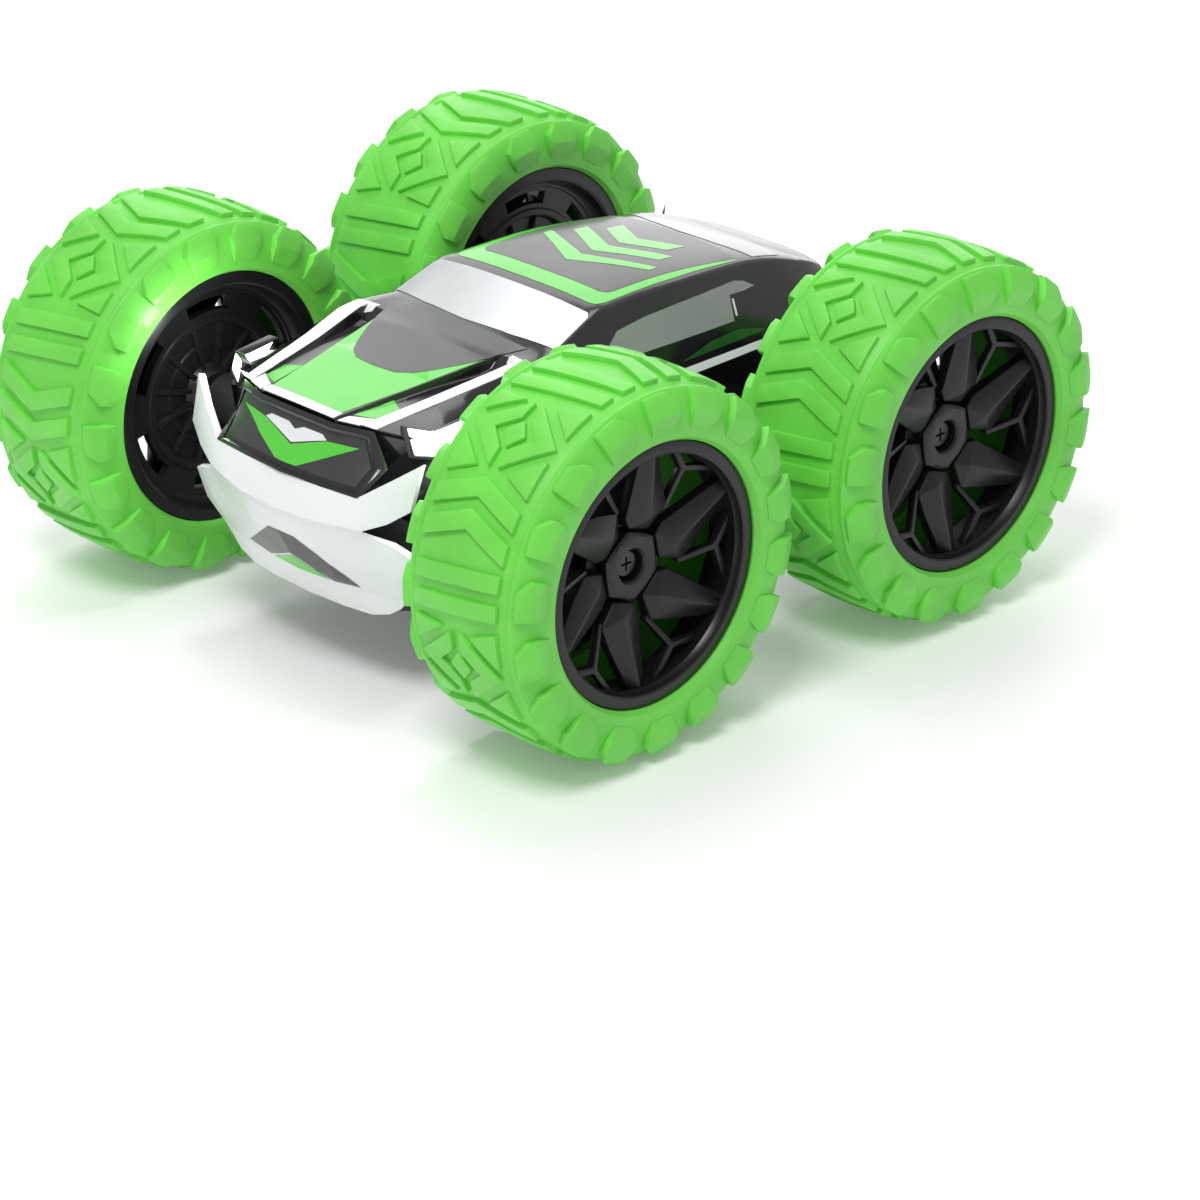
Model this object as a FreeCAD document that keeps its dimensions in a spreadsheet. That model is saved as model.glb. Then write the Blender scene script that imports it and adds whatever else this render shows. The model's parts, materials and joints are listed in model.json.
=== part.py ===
import FreeCAD, Part
import Sketcher

import math
import os

# Remote control stunt car with two sides to drive on. The frame: the car faces -Y, +X is its left side, +Z is up,
# and the origin is on the ground under the middle of the car. All sizes are in millimetres and degrees.

V = FreeCAD.Vector
doc = FreeCAD.newDocument("stunt_car")
sheet = doc.addObject("Spreadsheet::Sheet", "car")
PARTS = {}

SIZES = {
    # wheels
    "tyre_radius": 44.0,
    "tyre_width": 39.8,
    "rim_radius": 30.5,
    "inner_rim_radius": 31.4,
    "wheelbase": 102.4,
    "track": 142.6,
    "axle_radius": 2.0,
    "run_gap": 0.05,
    "lug_count": 18,
    "spoke_count": 6,
    # gear train, one on each side
    "fine_module": 0.5,
    "coarse_module": 0.8,
    "pinion_teeth": 10,
    "first_teeth": 40,
    "small_teeth": 12,
    "idler_teeth": 22,
    "axle_teeth": 28,
    "gear_width": 3.2,
    "pin_radius": 1.0,
    "case_inside": 19.6,
    "case_plate": 1.6,
    "motor_radius": 10.0,
    "motor_flat": 15.0,
    "motor_length": 25.0,
    "shaft_radius": 1.0,
    # body
    "axle_height": 44.0,
    "wall": 1.6,
    "half_width": 34.0,
    "roof_height": 77.0,
    "hood_height": 65.0,
    "floor_height": 12.0,
    "nose_face": 71.0,
    "nose_reach": 82.0,
    "tail_face": 72.0,
    "tail_reach": 79.0,
    "bumper_wall": 2.2,
    # battery, its bay and its door
    "cell_radius": 7.0,
    "cell_length": 50.0,
    "bay_centre": -6.0,
    "door_length": 62.0,
    "door_width": 31.6,
    "door_thickness": 2.0,
    # switch and fasteners
    "switch_place": 40.0,
    "switch_travel": 4.0,
    "screw_radius": 1.3,
    "screw_head": 2.8,
    "screw_x": 15.0,
    "screw_y": 58.0,
}


def fill_sheet():
    """Writes each driving size in a row of its own, with its name as the cell's alias."""
    for row, (name, number) in enumerate(SIZES.items(), 1):
        sheet.set(f"A{row}", name)
        sheet.set(f"B{row}", str(number))
        sheet.setAlias(f"B{row}", name)
    doc.recompute()


def value(expression):
    """The number that an expression on the sheet has now."""
    found = sheet.evalExpression(str(expression))
    return float(getattr(found, "Value", found))


def bind(thing, **sizes):
    """Binds each property to its expression."""
    for name, expression in sizes.items():
        thing.setExpression(name, str(expression))
    return thing


def place(thing, x=0, y=0, z=0):
    """Binds where a thing stands."""
    for axis, expression in zip("xyz", (x, y, z)):
        thing.setExpression(f"Placement.Base.{axis}", str(expression))
    return thing


def sub_part(name, thing):
    """Names a finished piece. Its label is its node's name."""
    thing.Label = name
    PARTS[name] = thing
    return thing


# ---- Part workbench helpers ----


def box(name, size, corner):
    """A block from its lowest corner."""
    thing = bind(doc.addObject("Part::Box", name), Length=size[0], Width=size[1], Height=size[2])
    return place(thing, *corner)


TURNS = {
    "x": FreeCAD.Rotation(V(0, 1, 0), 90),
    "y": FreeCAD.Rotation(V(1, 0, 0), -90),
    "z": FreeCAD.Rotation(),
}


def rod(name, radius, length, start, along="x"):
    """A cylinder from the centre of its start face."""
    thing = bind(doc.addObject("Part::Cylinder", name), Radius=radius, Height=length)
    thing.Placement.Rotation = TURNS[along]
    return place(thing, *start)


def side_rod(name, side, radius, first, last, y, z):
    """A cylinder along X between two distances from the middle, on the left (1) or the right (-1) side."""
    start = first if side > 0 else f"-({last})"
    return rod(name, radius, f"({last})-({first})", (start, y, z))


def side_box(name, side, first, last, y, z):
    """A block between two distances from the middle; y and z are (from, to)."""
    start = first if side > 0 else f"-({last})"
    size = (f"({last})-({first})", f"({y[1]})-({y[0]})", f"({z[1]})-({z[0]})")
    return box(name, size, (start, y[0], z[0]))


def cut(name, base, tool):
    thing = doc.addObject("Part::Cut", name)
    thing.Base, thing.Tool = base, tool
    return thing


def fuse(name, *things):
    thing = doc.addObject("Part::MultiFuse", name)
    thing.Shapes = list(things)
    return thing


def common(name, *things):
    thing = doc.addObject("Part::MultiCommon", name)
    thing.Shapes = list(things)
    return thing


def group(name, *things):
    """Separate solids that share one node."""
    thing = doc.addObject("Part::Compound", name)
    thing.Links = list(things)
    return thing


# ---- Part Design helpers ----


def body(name):
    return doc.addObject("PartDesign::Body", name)


def plane(owner, role):
    return next(f for f in owner.Origin.OriginFeatures if f.Role == role)


def polygon(owner, role, name, corners, offset=0, circles=()):
    """A closed outline on one of the body's planes. Every corner's two coordinates, and every circle's centre and
    radius, are expressions."""
    sketch = owner.newObject("Sketcher::SketchObject", name)
    sketch.AttachmentSupport = [(plane(owner, role), "")]
    sketch.MapMode = "FlatFace"
    sketch.setExpression("AttachmentOffset.Base.z", str(offset))
    points = [V(value(a), value(b), 0) for a, b in corners]
    count = len(points)
    for i in range(count):
        sketch.addGeometry(Part.LineSegment(points[i], points[(i + 1) % count]), False)
    for i in range(count):
        sketch.addConstraint(Sketcher.Constraint("Coincident", i, 2, (i + 1) % count, 1))
    for i, (a, b) in enumerate(corners):
        for kind, expression in (("DistanceX", a), ("DistanceY", b)):
            rule = sketch.addConstraint(Sketcher.Constraint(kind, -1, 1, i, 1, value(expression)))
            sketch.setExpression(f"Constraints[{rule}]", str(expression))
    for i, (a, b, radius) in enumerate(circles, count):
        sketch.addGeometry(Part.Circle(V(value(a), value(b), 0), V(0, 0, 1), value(radius)), False)
        rule = sketch.addConstraint(Sketcher.Constraint("Radius", i, value(radius)))
        sketch.setExpression(f"Constraints[{rule}]", str(radius))
        for kind, expression in (("DistanceX", a), ("DistanceY", b)):
            rule = sketch.addConstraint(Sketcher.Constraint(kind, -1, 1, i, 3, value(expression)))
            sketch.setExpression(f"Constraints[{rule}]", str(expression))
    return sketch


def feature(owner, kind, name, sketch, **sizes):
    """A Part Design feature of one sketch."""
    thing = owner.newObject(f"PartDesign::{kind}", name)
    thing.Profile = sketch
    return bind(thing, **sizes)


def polar(owner, name, original, count):
    """Repeats a feature round the body's X axis."""
    pattern = owner.newObject("PartDesign::PolarPattern", name)
    pattern.Originals = [original]
    pattern.Axis = (plane(owner, "X_Axis"), [""])
    pattern.Angle = 360
    bind(pattern, Occurrences=count)
    owner.Tip = pattern
    return pattern


def revolve(owner, name, sketch, kind="Revolution"):
    """Turns a sketch on the XY plane round the X axis."""
    thing = feature(owner, kind, name, sketch)
    thing.ReferenceAxis = (sketch, ["H_Axis"])
    thing.Angle = 360
    return thing


def slope(owner, name, corners):
    """Turns away what lies inside an outline, so that the spokes rise from the hub to the lip."""
    groove = revolve(owner, name, polygon(owner, "XY_Plane", f"{name}_outline", corners), "Groove")
    owner.Tip = groove
    return groove


def loft(owner, name, sketches, kind="AdditiveLoft"):
    """Joins outlines of equal corner counts with flat ruled faces."""
    thing = owner.newObject(f"PartDesign::{kind}", name)
    thing.Profile = sketches[0]
    thing.Sections = sketches[1:]
    thing.Ruled = True
    return thing


# ---- Wheels ----

CORNERS = {
    "front_left": (1, -1),
    "front_right": (-1, -1),
    "rear_left": (1, 1),
    "rear_right": (-1, 1),
}
HALF_TYRE = "car.tyre_width/2"
BEAD = "car.tyre_width/2-3.2"


def set_on_axle(thing, side, end):
    """Stands a wheel piece, made with its outer face to +X, at its corner of the car."""
    if side < 0:
        thing.Placement.Rotation = FreeCAD.Rotation(V(0, 0, 1), 180)
    return place(thing, f"{side}*car.track/2", f"{end}*car.wheelbase/2", "car.axle_height")


def tyre(corner, side, end):
    """A hollow soft tyre: a crowned tread, sloping shoulders with a ring of lugs, and two beads."""
    own = body(f"tyre_{corner}")
    crown = "car.tyre_radius"
    outer = [
        (f"-({BEAD})", "car.rim_radius+0.1"),
        (f"-({HALF_TYRE})+0.6", "car.rim_radius+3"),
        (f"-({HALF_TYRE})+1", f"{crown}-7"),
        (f"-({HALF_TYRE})+3.4", f"{crown}-2.9"),
        (f"-({HALF_TYRE})+9", f"{crown}-0.8"),
        (f"-({HALF_TYRE})+15", crown),
        (f"({HALF_TYRE})-15", crown),
        (f"({HALF_TYRE})-9", f"{crown}-0.8"),
        (f"({HALF_TYRE})-3.4", f"{crown}-2.9"),
        (f"({HALF_TYRE})-1", f"{crown}-7"),
        (f"({HALF_TYRE})-0.6", "car.rim_radius+3"),
        (BEAD, "car.rim_radius+0.1"),
    ]
    inner = [
        (f"({BEAD})-5", "car.rim_radius+0.1"),
        (f"({BEAD})-5", "car.rim_radius+2"),
        (f"({HALF_TYRE})-5.6", "car.rim_radius+4"),
        (f"({HALF_TYRE})-6.4", f"{crown}-5.6"),
        (f"({HALF_TYRE})-11", f"{crown}-3.4"),
        (f"-({HALF_TYRE})+11", f"{crown}-3.4"),
        (f"-({HALF_TYRE})+6.4", f"{crown}-5.6"),
        (f"-({HALF_TYRE})+5.6", "car.rim_radius+4"),
        (f"-({BEAD})+5", "car.rim_radius+2"),
        (f"-({BEAD})+5", "car.rim_radius+0.1"),
    ]
    revolve(own, f"carcass_{corner}", polygon(own, "XY_Plane", f"section_{corner}", outer + inner))
    lug = [("-3", f"{crown}-9.5"), ("3.2", f"{crown}-9.5"), ("4.4", f"{crown}-1.7"), ("-3.4", f"{crown}-1.7")]
    for face in (1, -1):
        name = f"lug_{corner}_{'out' if face > 0 else 'in'}"
        start = f"{face}*(({HALF_TYRE})-5)"
        pad = feature(own, "Pad", name, polygon(own, "YZ_Plane", f"{name}_outline", lug, start), Length=5)
        pad.Reversed = face < 0
        polar(own, f"{name}_ring", pad, "car.lug_count")
    return set_on_axle(sub_part(f"tyre_{corner}", own), side, end)


def outer_rim(corner, side, end):
    """The outer half of the rim: lip, barrel, hub plate, kite-shaped spokes that rise to the lip, and a forked rib
    between each two."""
    own = body(f"outer_rim_{corner}")
    rim = "car.rim_radius"
    ring = [
        (f"({BEAD})", f"{rim}-3.6"),
        (f"({BEAD})", rim),
        (f"({BEAD})-5", rim),
        (f"({BEAD})-5", f"{rim}+1.8"),
        (f"({BEAD})-6.4", f"{rim}+1.8"),
        (f"({BEAD})-10.7", f"{rim}-0.4"),
        (f"({BEAD})-10.7", f"{rim}-2.4"),
        (f"({BEAD})-3", f"{rim}-2.4"),
    ]
    revolve(own, f"barrel_{corner}", polygon(own, "XY_Plane", f"barrel_section_{corner}", ring))
    hub = [
        ("4.6", "car.screw_radius+0.2"),
        ("6", "car.screw_radius+0.2"),
        ("6", "3.4"),
        ("9.2", "3.4"),
        ("9.2", "5"),
        ("8.6", "9"),
        ("6", "9"),
        ("6", "6.2"),
        ("4.6", "6.2"),
    ]
    revolve(own, f"hub_{corner}", polygon(own, "XY_Plane", f"hub_section_{corner}", hub))
    kite = [
        ("5.2", "6.9"),
        ("9.7", "11.6"),
        ("8.2", "17"),
        ("4.2", f"{rim}-2"),
        ("-0.6", f"{rim}-2"),
        ("-2", "11.6"),
        ("-0.7", "8.2"),
    ]
    rib = [
        ("9", "10.6"),
        ("10.2", "10.4"),
        ("13.9", "18.9"),
        ("21.6", "16.9"),
        ("22.2", "18.4"),
        ("13.9", "20.3"),
        ("9.9", "27"),
        ("8.6", "26.4"),
        ("12.7", "19.7"),
    ]
    web = feature(own, "Pad", f"web_{corner}", polygon(own, "YZ_Plane", f"rib_{corner}", rib, 6.2), Length=6.8)
    polar(own, f"webs_{corner}", web, "car.spoke_count")
    rib_face = [("8.7", "9.2"), ("12.8", f"{rim}-2.6"), ("15", f"{rim}-2.6"), ("15", "9.2")]
    slope(own, f"rib_slope_{corner}", rib_face)
    spoke = feature(own, "Pad", f"spoke_{corner}", polygon(own, "YZ_Plane", f"kite_{corner}", kite, 6.2), Length=8)
    polar(own, f"spokes_{corner}", spoke, "car.spoke_count")
    spoke_face = [("9.2", "5.2"), ("14.2", f"{rim}-2.9"), ("15", f"{rim}-2.9"), ("15", "5.2")]
    slope(own, f"spoke_slope_{corner}", spoke_face)
    back = [("6.1", "12"), ("10.4", f"{rim}-2.6"), ("6.1", f"{rim}-2.6")]
    slope(own, f"back_slope_{corner}", back)
    return set_on_axle(sub_part(f"outer_rim_{corner}", own), side, end)


def inner_rim(corner, side, end):
    """The dished inner half of the rim, with six slots and the hub tube that is pressed on the axle."""
    own = body(f"inner_rim_{corner}")
    rim = "car.inner_rim_radius"
    section = [
        ("-14", "car.axle_radius"),
        ("-14", "5.4"),
        ("-11", "6.4"),
        ("-11", "17"),
        ("-13", "18"),
        ("-13", "26"),
        (f"-({BEAD})+1", f"{rim}-4.4"),
        (f"-({BEAD})", f"{rim}-3.6"),
        (f"-({BEAD})", f"{rim}-0.9"),
        (f"-({BEAD})+5", f"{rim}-0.9"),
        (f"-({BEAD})+5", f"{rim}+0.9"),
        (f"-({BEAD})+6.4", f"{rim}+0.9"),
        (f"-({BEAD})+6.4", f"{rim}-3"),
        ("-10.6", "26.6"),
        ("-10.6", "18.6"),
        ("-9", "17.4"),
        ("-9", "5.4"),
        ("4.6", "5.4"),
        ("4.6", "car.axle_radius"),
    ]
    revolve(own, f"dish_{corner}", polygon(own, "XY_Plane", f"dish_section_{corner}", section))
    slot = [("-4.5", "20"), ("4.5", "20"), ("5.2", "23.6"), ("-5.2", "23.6")]
    window = feature(own, "Pocket", f"slot_{corner}", polygon(own, "YZ_Plane", f"slot_outline_{corner}", slot))
    window.Type = "ThroughAll"
    window.Midplane = True
    polar(own, f"slots_{corner}", window, 6)
    return set_on_axle(sub_part(f"inner_rim_{corner}", own), side, end)


AXLE_END = "car.track/2+4.6"


def axle_and_screw(corner, side, end):
    """A steel axle with a tapped outer end, and the pan head screw that holds the wheel on."""
    y = f"{end}*car.wheelbase/2"
    shaft = side_rod(f"axle_bar_{corner}", side, "car.axle_radius", "car.case_inside+0.4", AXLE_END, y, "car.axle_height")
    tapped = side_rod(
        f"axle_hole_{corner}", side, "car.screw_radius", f"{AXLE_END}-8", AXLE_END, y, "car.axle_height"
    )
    sub_part(f"axle_{corner}", cut(f"axle_{corner}", shaft, tapped))
    seat, top = f"{AXLE_END}+1.4", f"{AXLE_END}+3.2"
    shank = side_rod(f"wheel_shank_{corner}", side, "car.screw_radius", f"{AXLE_END}-7", seat, y, "car.axle_height")
    head = side_rod(f"wheel_head_{corner}", side, "car.screw_head", seat, top, y, "car.axle_height")
    drive = [
        side_box(
            f"wheel_{name}_{corner}",
            side,
            f"{top}-0.9",
            top,
            (f"{y}-{wide}", f"{y}+{wide}"),
            (f"car.axle_height-{tall}", f"car.axle_height+{tall}"),
        )
        for name, wide, tall in (("slot", 0.3, 1.6), ("cross", 1.6, 0.3))
    ]
    pan = fuse(f"wheel_pan_{corner}", shank, head)
    sub_part(f"wheel_screw_{corner}", cut(f"wheel_screw_{corner}", pan, fuse(f"wheel_drive_{corner}", *drive)))


# ---- Gear train ----

PRESSURE = math.radians(25)
ADDENDUM = 0.9
DEDENDUM = 1.15
BACKLASH = 0.14


def tooth_outline(module, teeth, phase):
    """A closed spur gear outline in the YZ plane. Flanks are involutes, and phase is the angle of one tooth's middle,
    from +Y towards +Z."""
    pitch = module * teeth / 2
    base = pitch * math.cos(PRESSURE)
    tip = pitch + ADDENDUM * module
    root = pitch - DEDENDUM * module
    involute = math.tan(PRESSURE) - PRESSURE
    half = (math.pi * module / 2 - BACKLASH * module) / 2 / pitch

    def half_angle(radius):
        """Half the angle that a tooth fills at a radius."""
        lean = math.acos(min(1.0, base / radius))
        return half + involute - (math.tan(lean) - lean)

    start = max(base, root)
    steps = [start + (tip - start) * k / 3 for k in range(4)]
    flank = [(radius, half_angle(radius)) for radius in steps]
    if root < start:
        flank.insert(0, (root, half_angle(start)))
    points = []
    for tooth in range(teeth):
        middle = phase + 2 * math.pi * tooth / teeth
        points += [(r, middle - a) for r, a in flank]
        points += [(r, middle + a) for r, a in reversed(flank)]
    corners = [V(0, r * math.cos(a), r * math.sin(a)) for r, a in points]
    return Part.makePolygon(corners + corners[:1])


def toothed(name, side, module, teeth, phase, first, width, y, z):
    """A toothed disc between two distances from the middle. Its outline is a wire, because no primitive has teeth."""
    outline = doc.addObject("Part::Feature", f"{name}_teeth")
    outline.Shape = tooth_outline(value(module), round(value(teeth)), phase)
    start = first if side > 0 else f"-({first})-({width})"
    place(outline, start, y, z)
    disc = doc.addObject("Part::Extrusion", f"{name}_disc")
    disc.Base = outline
    disc.DirMode = "Custom"
    disc.Dir = V(1, 0, 0)
    disc.Solid = True
    return bind(disc, LengthFwd=width)


def mesh_phase(teeth, phase, towards, next_teeth):
    """The phase of a gear whose gap meets a tooth of its neighbour, which lies in the direction towards from it."""
    share = (towards - phase) * teeth / (2 * math.pi)
    return towards + math.pi - (0.5 - share) * 2 * math.pi / next_teeth


FINE_FROM = "car.case_inside+car.case_plate+0.4"
COARSE_FROM = f"{FINE_FROM}+car.gear_width+0.3"
CENTRE_TO_IDLER = "car.coarse_module*(car.small_teeth+car.idler_teeth)/2"
IDLER_TO_IDLER = "car.coarse_module*car.idler_teeth"
PINION_DISTANCE = "car.fine_module*(car.pinion_teeth+car.first_teeth)/2"
MOTOR_LEAN = 30.0
MOTOR_Y = f"({PINION_DISTANCE})*cos({MOTOR_LEAN})"
MOTOR_Z = f"car.axle_height+({PINION_DISTANCE})*sin({MOTOR_LEAN})"


def bored_gear(name, side, discs, bore, first, last, y, z):
    """Toothed discs and a hub, joined, with a bore."""
    hub = side_rod(f"{name}_hub", side, "car.pin_radius+1.6", first, last, y, z)
    hole = side_rod(f"{name}_bore", side, bore, f"{first}-1", f"{last}+1", y, z)
    return sub_part(name, cut(name, fuse(f"{name}_solid", hub, *discs), hole))


def gear_train(label, side):
    """The motor's pinion drives a double gear in the middle. From there two idlers each way reach the axle gears."""
    small, idler, last = (round(value(f"car.{n}_teeth")) for n in ("small", "idler", "axle"))
    axis = "car.axle_height"
    pin_bore = "car.pin_radius+car.run_gap"
    first = toothed(
        f"first_{label}", side, "car.fine_module", "car.first_teeth", 0.0, FINE_FROM, "car.gear_width", 0, axis
    )
    second = toothed(
        f"small_{label}", side, "car.coarse_module", "car.small_teeth", 0.0, COARSE_FROM, "car.gear_width", 0, axis
    )
    bored_gear(
        f"double_gear_{label}", side, (first, second), pin_bore, FINE_FROM, f"{COARSE_FROM}+car.gear_width", 0, axis
    )
    for end_name, end in (("front", -1), ("rear", 1)):
        towards = 0.0 if end > 0 else math.pi
        near = mesh_phase(small, 0.0, towards, idler)
        far = mesh_phase(idler, near, towards, idler)
        final = mesh_phase(idler, far, towards, last)
        places = (CENTRE_TO_IDLER, f"{CENTRE_TO_IDLER}+{IDLER_TO_IDLER}")
        for which, phase, distance in zip(("near", "far"), (near, far), places):
            name = f"{which}_idler_{end_name}_{label}"
            y = f"{end}*({distance})"
            disc = toothed(
                name, side, "car.coarse_module", "car.idler_teeth", phase, COARSE_FROM, "car.gear_width", y, axis
            )
            bored_gear(name, side, (disc,), pin_bore, FINE_FROM, f"{COARSE_FROM}+car.gear_width", y, axis)
        name = f"axle_gear_{end_name}_{label}"
        y = f"{end}*car.wheelbase/2"
        disc = toothed(
            name, side, "car.coarse_module", "car.axle_teeth", final, COARSE_FROM, "car.gear_width", y, axis
        )
        hub = side_rod(f"{name}_boss", side, "4", FINE_FROM, COARSE_FROM, y, axis)
        hole = side_rod(f"{name}_bore", side, "car.axle_radius", 20, 40, y, axis)
        sub_part(name, cut(name, fuse(f"{name}_solid", hub, disc), hole))


def motor(label, side):
    """A small brushed motor with two flats, and its rotor: armature, shaft and brass pinion."""
    y = f"{-side}*({MOTOR_Y})"
    face = "car.case_inside"
    back = "car.case_inside-car.motor_length"
    can = side_rod(f"can_{label}", side, "car.motor_radius", back, face, y, MOTOR_Z)
    flats = side_box(
        f"flats_{label}",
        side,
        back,
        face,
        (f"{y}-car.motor_radius", f"{y}+car.motor_radius"),
        (f"{MOTOR_Z}-car.motor_flat/2", f"{MOTOR_Z}+car.motor_flat/2"),
    )
    boss = side_rod(f"motor_boss_{label}", side, "3", face, f"{face}+car.case_plate", y, MOTOR_Z)
    hollow = side_rod(f"hollow_{label}", side, "6.7", f"{back}+4", f"{face}-2", y, MOTOR_Z)
    bearing = side_rod(
        f"bearing_{label}", side, "car.shaft_radius+car.run_gap", f"{back}+2", f"{face}+3", y, MOTOR_Z
    )
    shell = fuse(f"motor_shell_{label}", common(f"flat_can_{label}", can, flats), boss)
    sub_part(f"motor_{label}", cut(f"motor_{label}", shell, fuse(f"motor_bore_{label}", hollow, bearing)))
    armature = side_rod(f"armature_{label}", side, "6.2", f"{back}+7", f"{face}-4", y, MOTOR_Z)
    shaft = side_rod(
        f"shaft_{label}", side, "car.shaft_radius", f"{back}+2.4", f"{FINE_FROM}+car.gear_width", y, MOTOR_Z
    )
    teeth = round(value("car.first_teeth"))
    towards = math.radians(MOTOR_LEAN) if side < 0 else math.pi - math.radians(MOTOR_LEAN)
    phase = mesh_phase(teeth, 0.0, towards, round(value("car.pinion_teeth")))
    disc = toothed(
        f"pinion_{label}",
        side,
        "car.fine_module",
        "car.pinion_teeth",
        phase,
        f"{FINE_FROM}-0.2",
        "car.gear_width+0.1",
        y,
        MOTOR_Z,
    )
    hole = side_rod(f"pinion_bore_{label}", side, "car.shaft_radius", 15, 30, y, MOTOR_Z)
    pinion = cut(f"bored_pinion_{label}", disc, hole)
    rotor = fuse(f"rotor_{label}", armature, shaft)
    sub_part(f"motor_rotor_{label}", group(f"motor_rotor_{label}", rotor, pinion))


CASE_LONG = "car.wheelbase/2+15.2"
CASE_TALL = "15"
COVER_FROM = f"{COARSE_FROM}+car.gear_width+0.4"


def case_outline(grow):
    """The gear case's outline in the YZ plane, grown or shrunk all round."""
    half = [
        (f"{CASE_LONG}+{grow}", "5.4"),
        (f"{CASE_LONG}-10.4+{grow}", f"13.6+{grow}"),
        ("26", f"13.6+{grow}"),
        ("18", f"{CASE_TALL}+{grow}"),
    ]
    ring = [(y, f"car.axle_height+{z}") for y, z in half]
    ring += [(f"-({y})", f"car.axle_height+{z}") for y, z in reversed(half)]
    ring += [(f"-({y})", f"car.axle_height-({z})") for y, z in half]
    ring += [(y, f"car.axle_height-({z})") for y, z in reversed(half)]
    return ring


def pin_places():
    """Where each side's fixed gear pins stand along Y."""
    near, far = CENTRE_TO_IDLER, f"{CENTRE_TO_IDLER}+{IDLER_TO_IDLER}"
    return ("0", near, f"-({near})", far, f"-({far})")


def gear_case(label, side):
    """The long case of one side's gears: an open tray towards the middle, and a cover with the two axle tubes."""
    first = "car.case_inside" if side > 0 else "-car.case_inside"
    axis = "car.axle_height"
    tray = body(f"gear_case_{label}")
    pad = feature(
        tray,
        "Pad",
        f"tray_{label}",
        polygon(tray, "YZ_Plane", f"tray_outline_{label}", case_outline("0"), first),
        Length=f"{COVER_FROM}-car.case_inside",
    )
    pad.Reversed = side < 0
    inside = polygon(
        tray, "YZ_Plane", f"tray_inside_{label}", case_outline("-1.2"), f"({first})+{side}*car.case_plate"
    )
    hollow = feature(tray, "Pocket", f"tray_hollow_{label}", inside, Length=20)
    hollow.Reversed = side > 0
    circles = [(y, axis, "car.pin_radius") for y in pin_places()]
    circles += [(f"{end}*car.wheelbase/2", axis, "car.axle_radius+car.run_gap") for end in (1, -1)]
    circles += [(f"{-side}*({MOTOR_Y})", MOTOR_Z, "3.05")]
    holes = feature(
        tray, "Pocket", f"tray_holes_{label}", polygon(tray, "YZ_Plane", f"tray_circles_{label}", [], first, circles)
    )
    holes.Type = "ThroughAll"
    holes.Midplane = True
    sub_part(f"gear_case_{label}", tray)

    plate = body(f"cover_plate_{label}")
    start = f"{side}*({COVER_FROM})"
    circles = [(y, axis, "car.pin_radius") for y in pin_places()]
    pad = feature(
        plate,
        "Pad",
        f"cover_{label}",
        polygon(plate, "YZ_Plane", f"cover_outline_{label}", case_outline("0"), start, circles),
        Length="car.case_plate",
    )
    pad.Reversed = side < 0
    tubes, holes = [], []
    for end_name, end in (("front", -1), ("rear", 1)):
        y = f"{end}*car.wheelbase/2"
        tubes.append(side_rod(f"axle_tube_{end_name}_{label}", side, "6", COVER_FROM, "54", y, axis))
        holes.append(side_rod(f"axle_way_{end_name}_{label}", side, "3.2", 20, 60, y, axis))
    solid = fuse(f"cover_solid_{label}", plate, *tubes)
    sub_part(f"gear_cover_{label}", cut(f"gear_cover_{label}", solid, fuse(f"axle_ways_{label}", *holes)))

    pins = [
        side_rod(f"pin_{k}_{label}", side, "car.pin_radius", "car.case_inside", f"{COVER_FROM}+car.case_plate", y, axis)
        for k, y in enumerate(pin_places())
    ]
    sub_part(f"gear_pins_{label}", group(f"gear_pins_{label}", *pins))


def axle_bushes():
    """A flanged bush at the outer end of each axle tube."""
    made = []
    for corner, (side, end) in CORNERS.items():
        y = f"{end}*car.wheelbase/2"
        barrel = side_rod(f"bush_barrel_{corner}", side, "3.2", "47", "55.4", y, "car.axle_height")
        flange = side_rod(f"bush_flange_{corner}", side, "4.6", "54", "55.4", y, "car.axle_height")
        hole = side_rod(f"bush_bore_{corner}", side, "car.axle_radius+car.run_gap", 45, 58, y, "car.axle_height")
        made.append(cut(f"bush_{corner}", fuse(f"bush_solid_{corner}", barrel, flange), hole))
    sub_part("axle_bushes", group("axle_bushes", *made))


# ---- Body shells ----

# Each upper station: its place along Y, the half width at the split line, the sill corner, the shoulder and the top
# edge as (x, z), and the height of the middle.
UPPER = [
    ("-car.nose_face", "-1", ("2", "56"), ("-3", "61.5"), "21.5", "car.hood_height-0.5", "car.hood_height+0.2"),
    ("-50", "0", ("2", "56"), ("-2", "63.2"), "25", "car.hood_height+2.3", "car.hood_height+3"),
    ("-24", "0", ("1", "56"), ("-2.6", "65"), "28", "car.hood_height+5.2", "car.hood_height+6"),
    ("-7", "0", ("0.5", "56"), ("-4.6", "67"), "25.8", "car.roof_height-1.6", "car.roof_height-0.6"),
    ("20", "0", ("0", "56"), ("-5", "66"), "25", "car.roof_height-1.6", "car.roof_height"),
    ("46", "0", ("0", "56"), ("-5.5", "64.5"), "23", "car.roof_height-4", "car.roof_height-2.6"),
    ("60", "-1", ("0", "56"), ("-6", "62.5"), "22.4", "car.roof_height-7", "car.roof_height-6"),
    ("car.tail_face", "-3", ("0", "55"), ("-5", "60"), "21.6", "car.roof_height-11.5", "car.roof_height-10.6"),
]
LOWER = [
    ("-car.nose_face", "-1", ("0.5", "34"), "24", "car.floor_height+9"),
    ("-42", "0", ("1", "33"), "26", "car.floor_height"),
    ("48", "0", ("1", "33"), "26", "car.floor_height"),
    ("car.tail_face", "-3", ("-1", "33"), "22", "car.floor_height+9"),
]
SPLIT = "car.axle_height"


def mirrored(half):
    """A closed outline from its right half, which starts and ends off the middle."""
    return [(f"-({x})", z) for x, z in half] + [(x, z) for x, z in reversed(half)]


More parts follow.
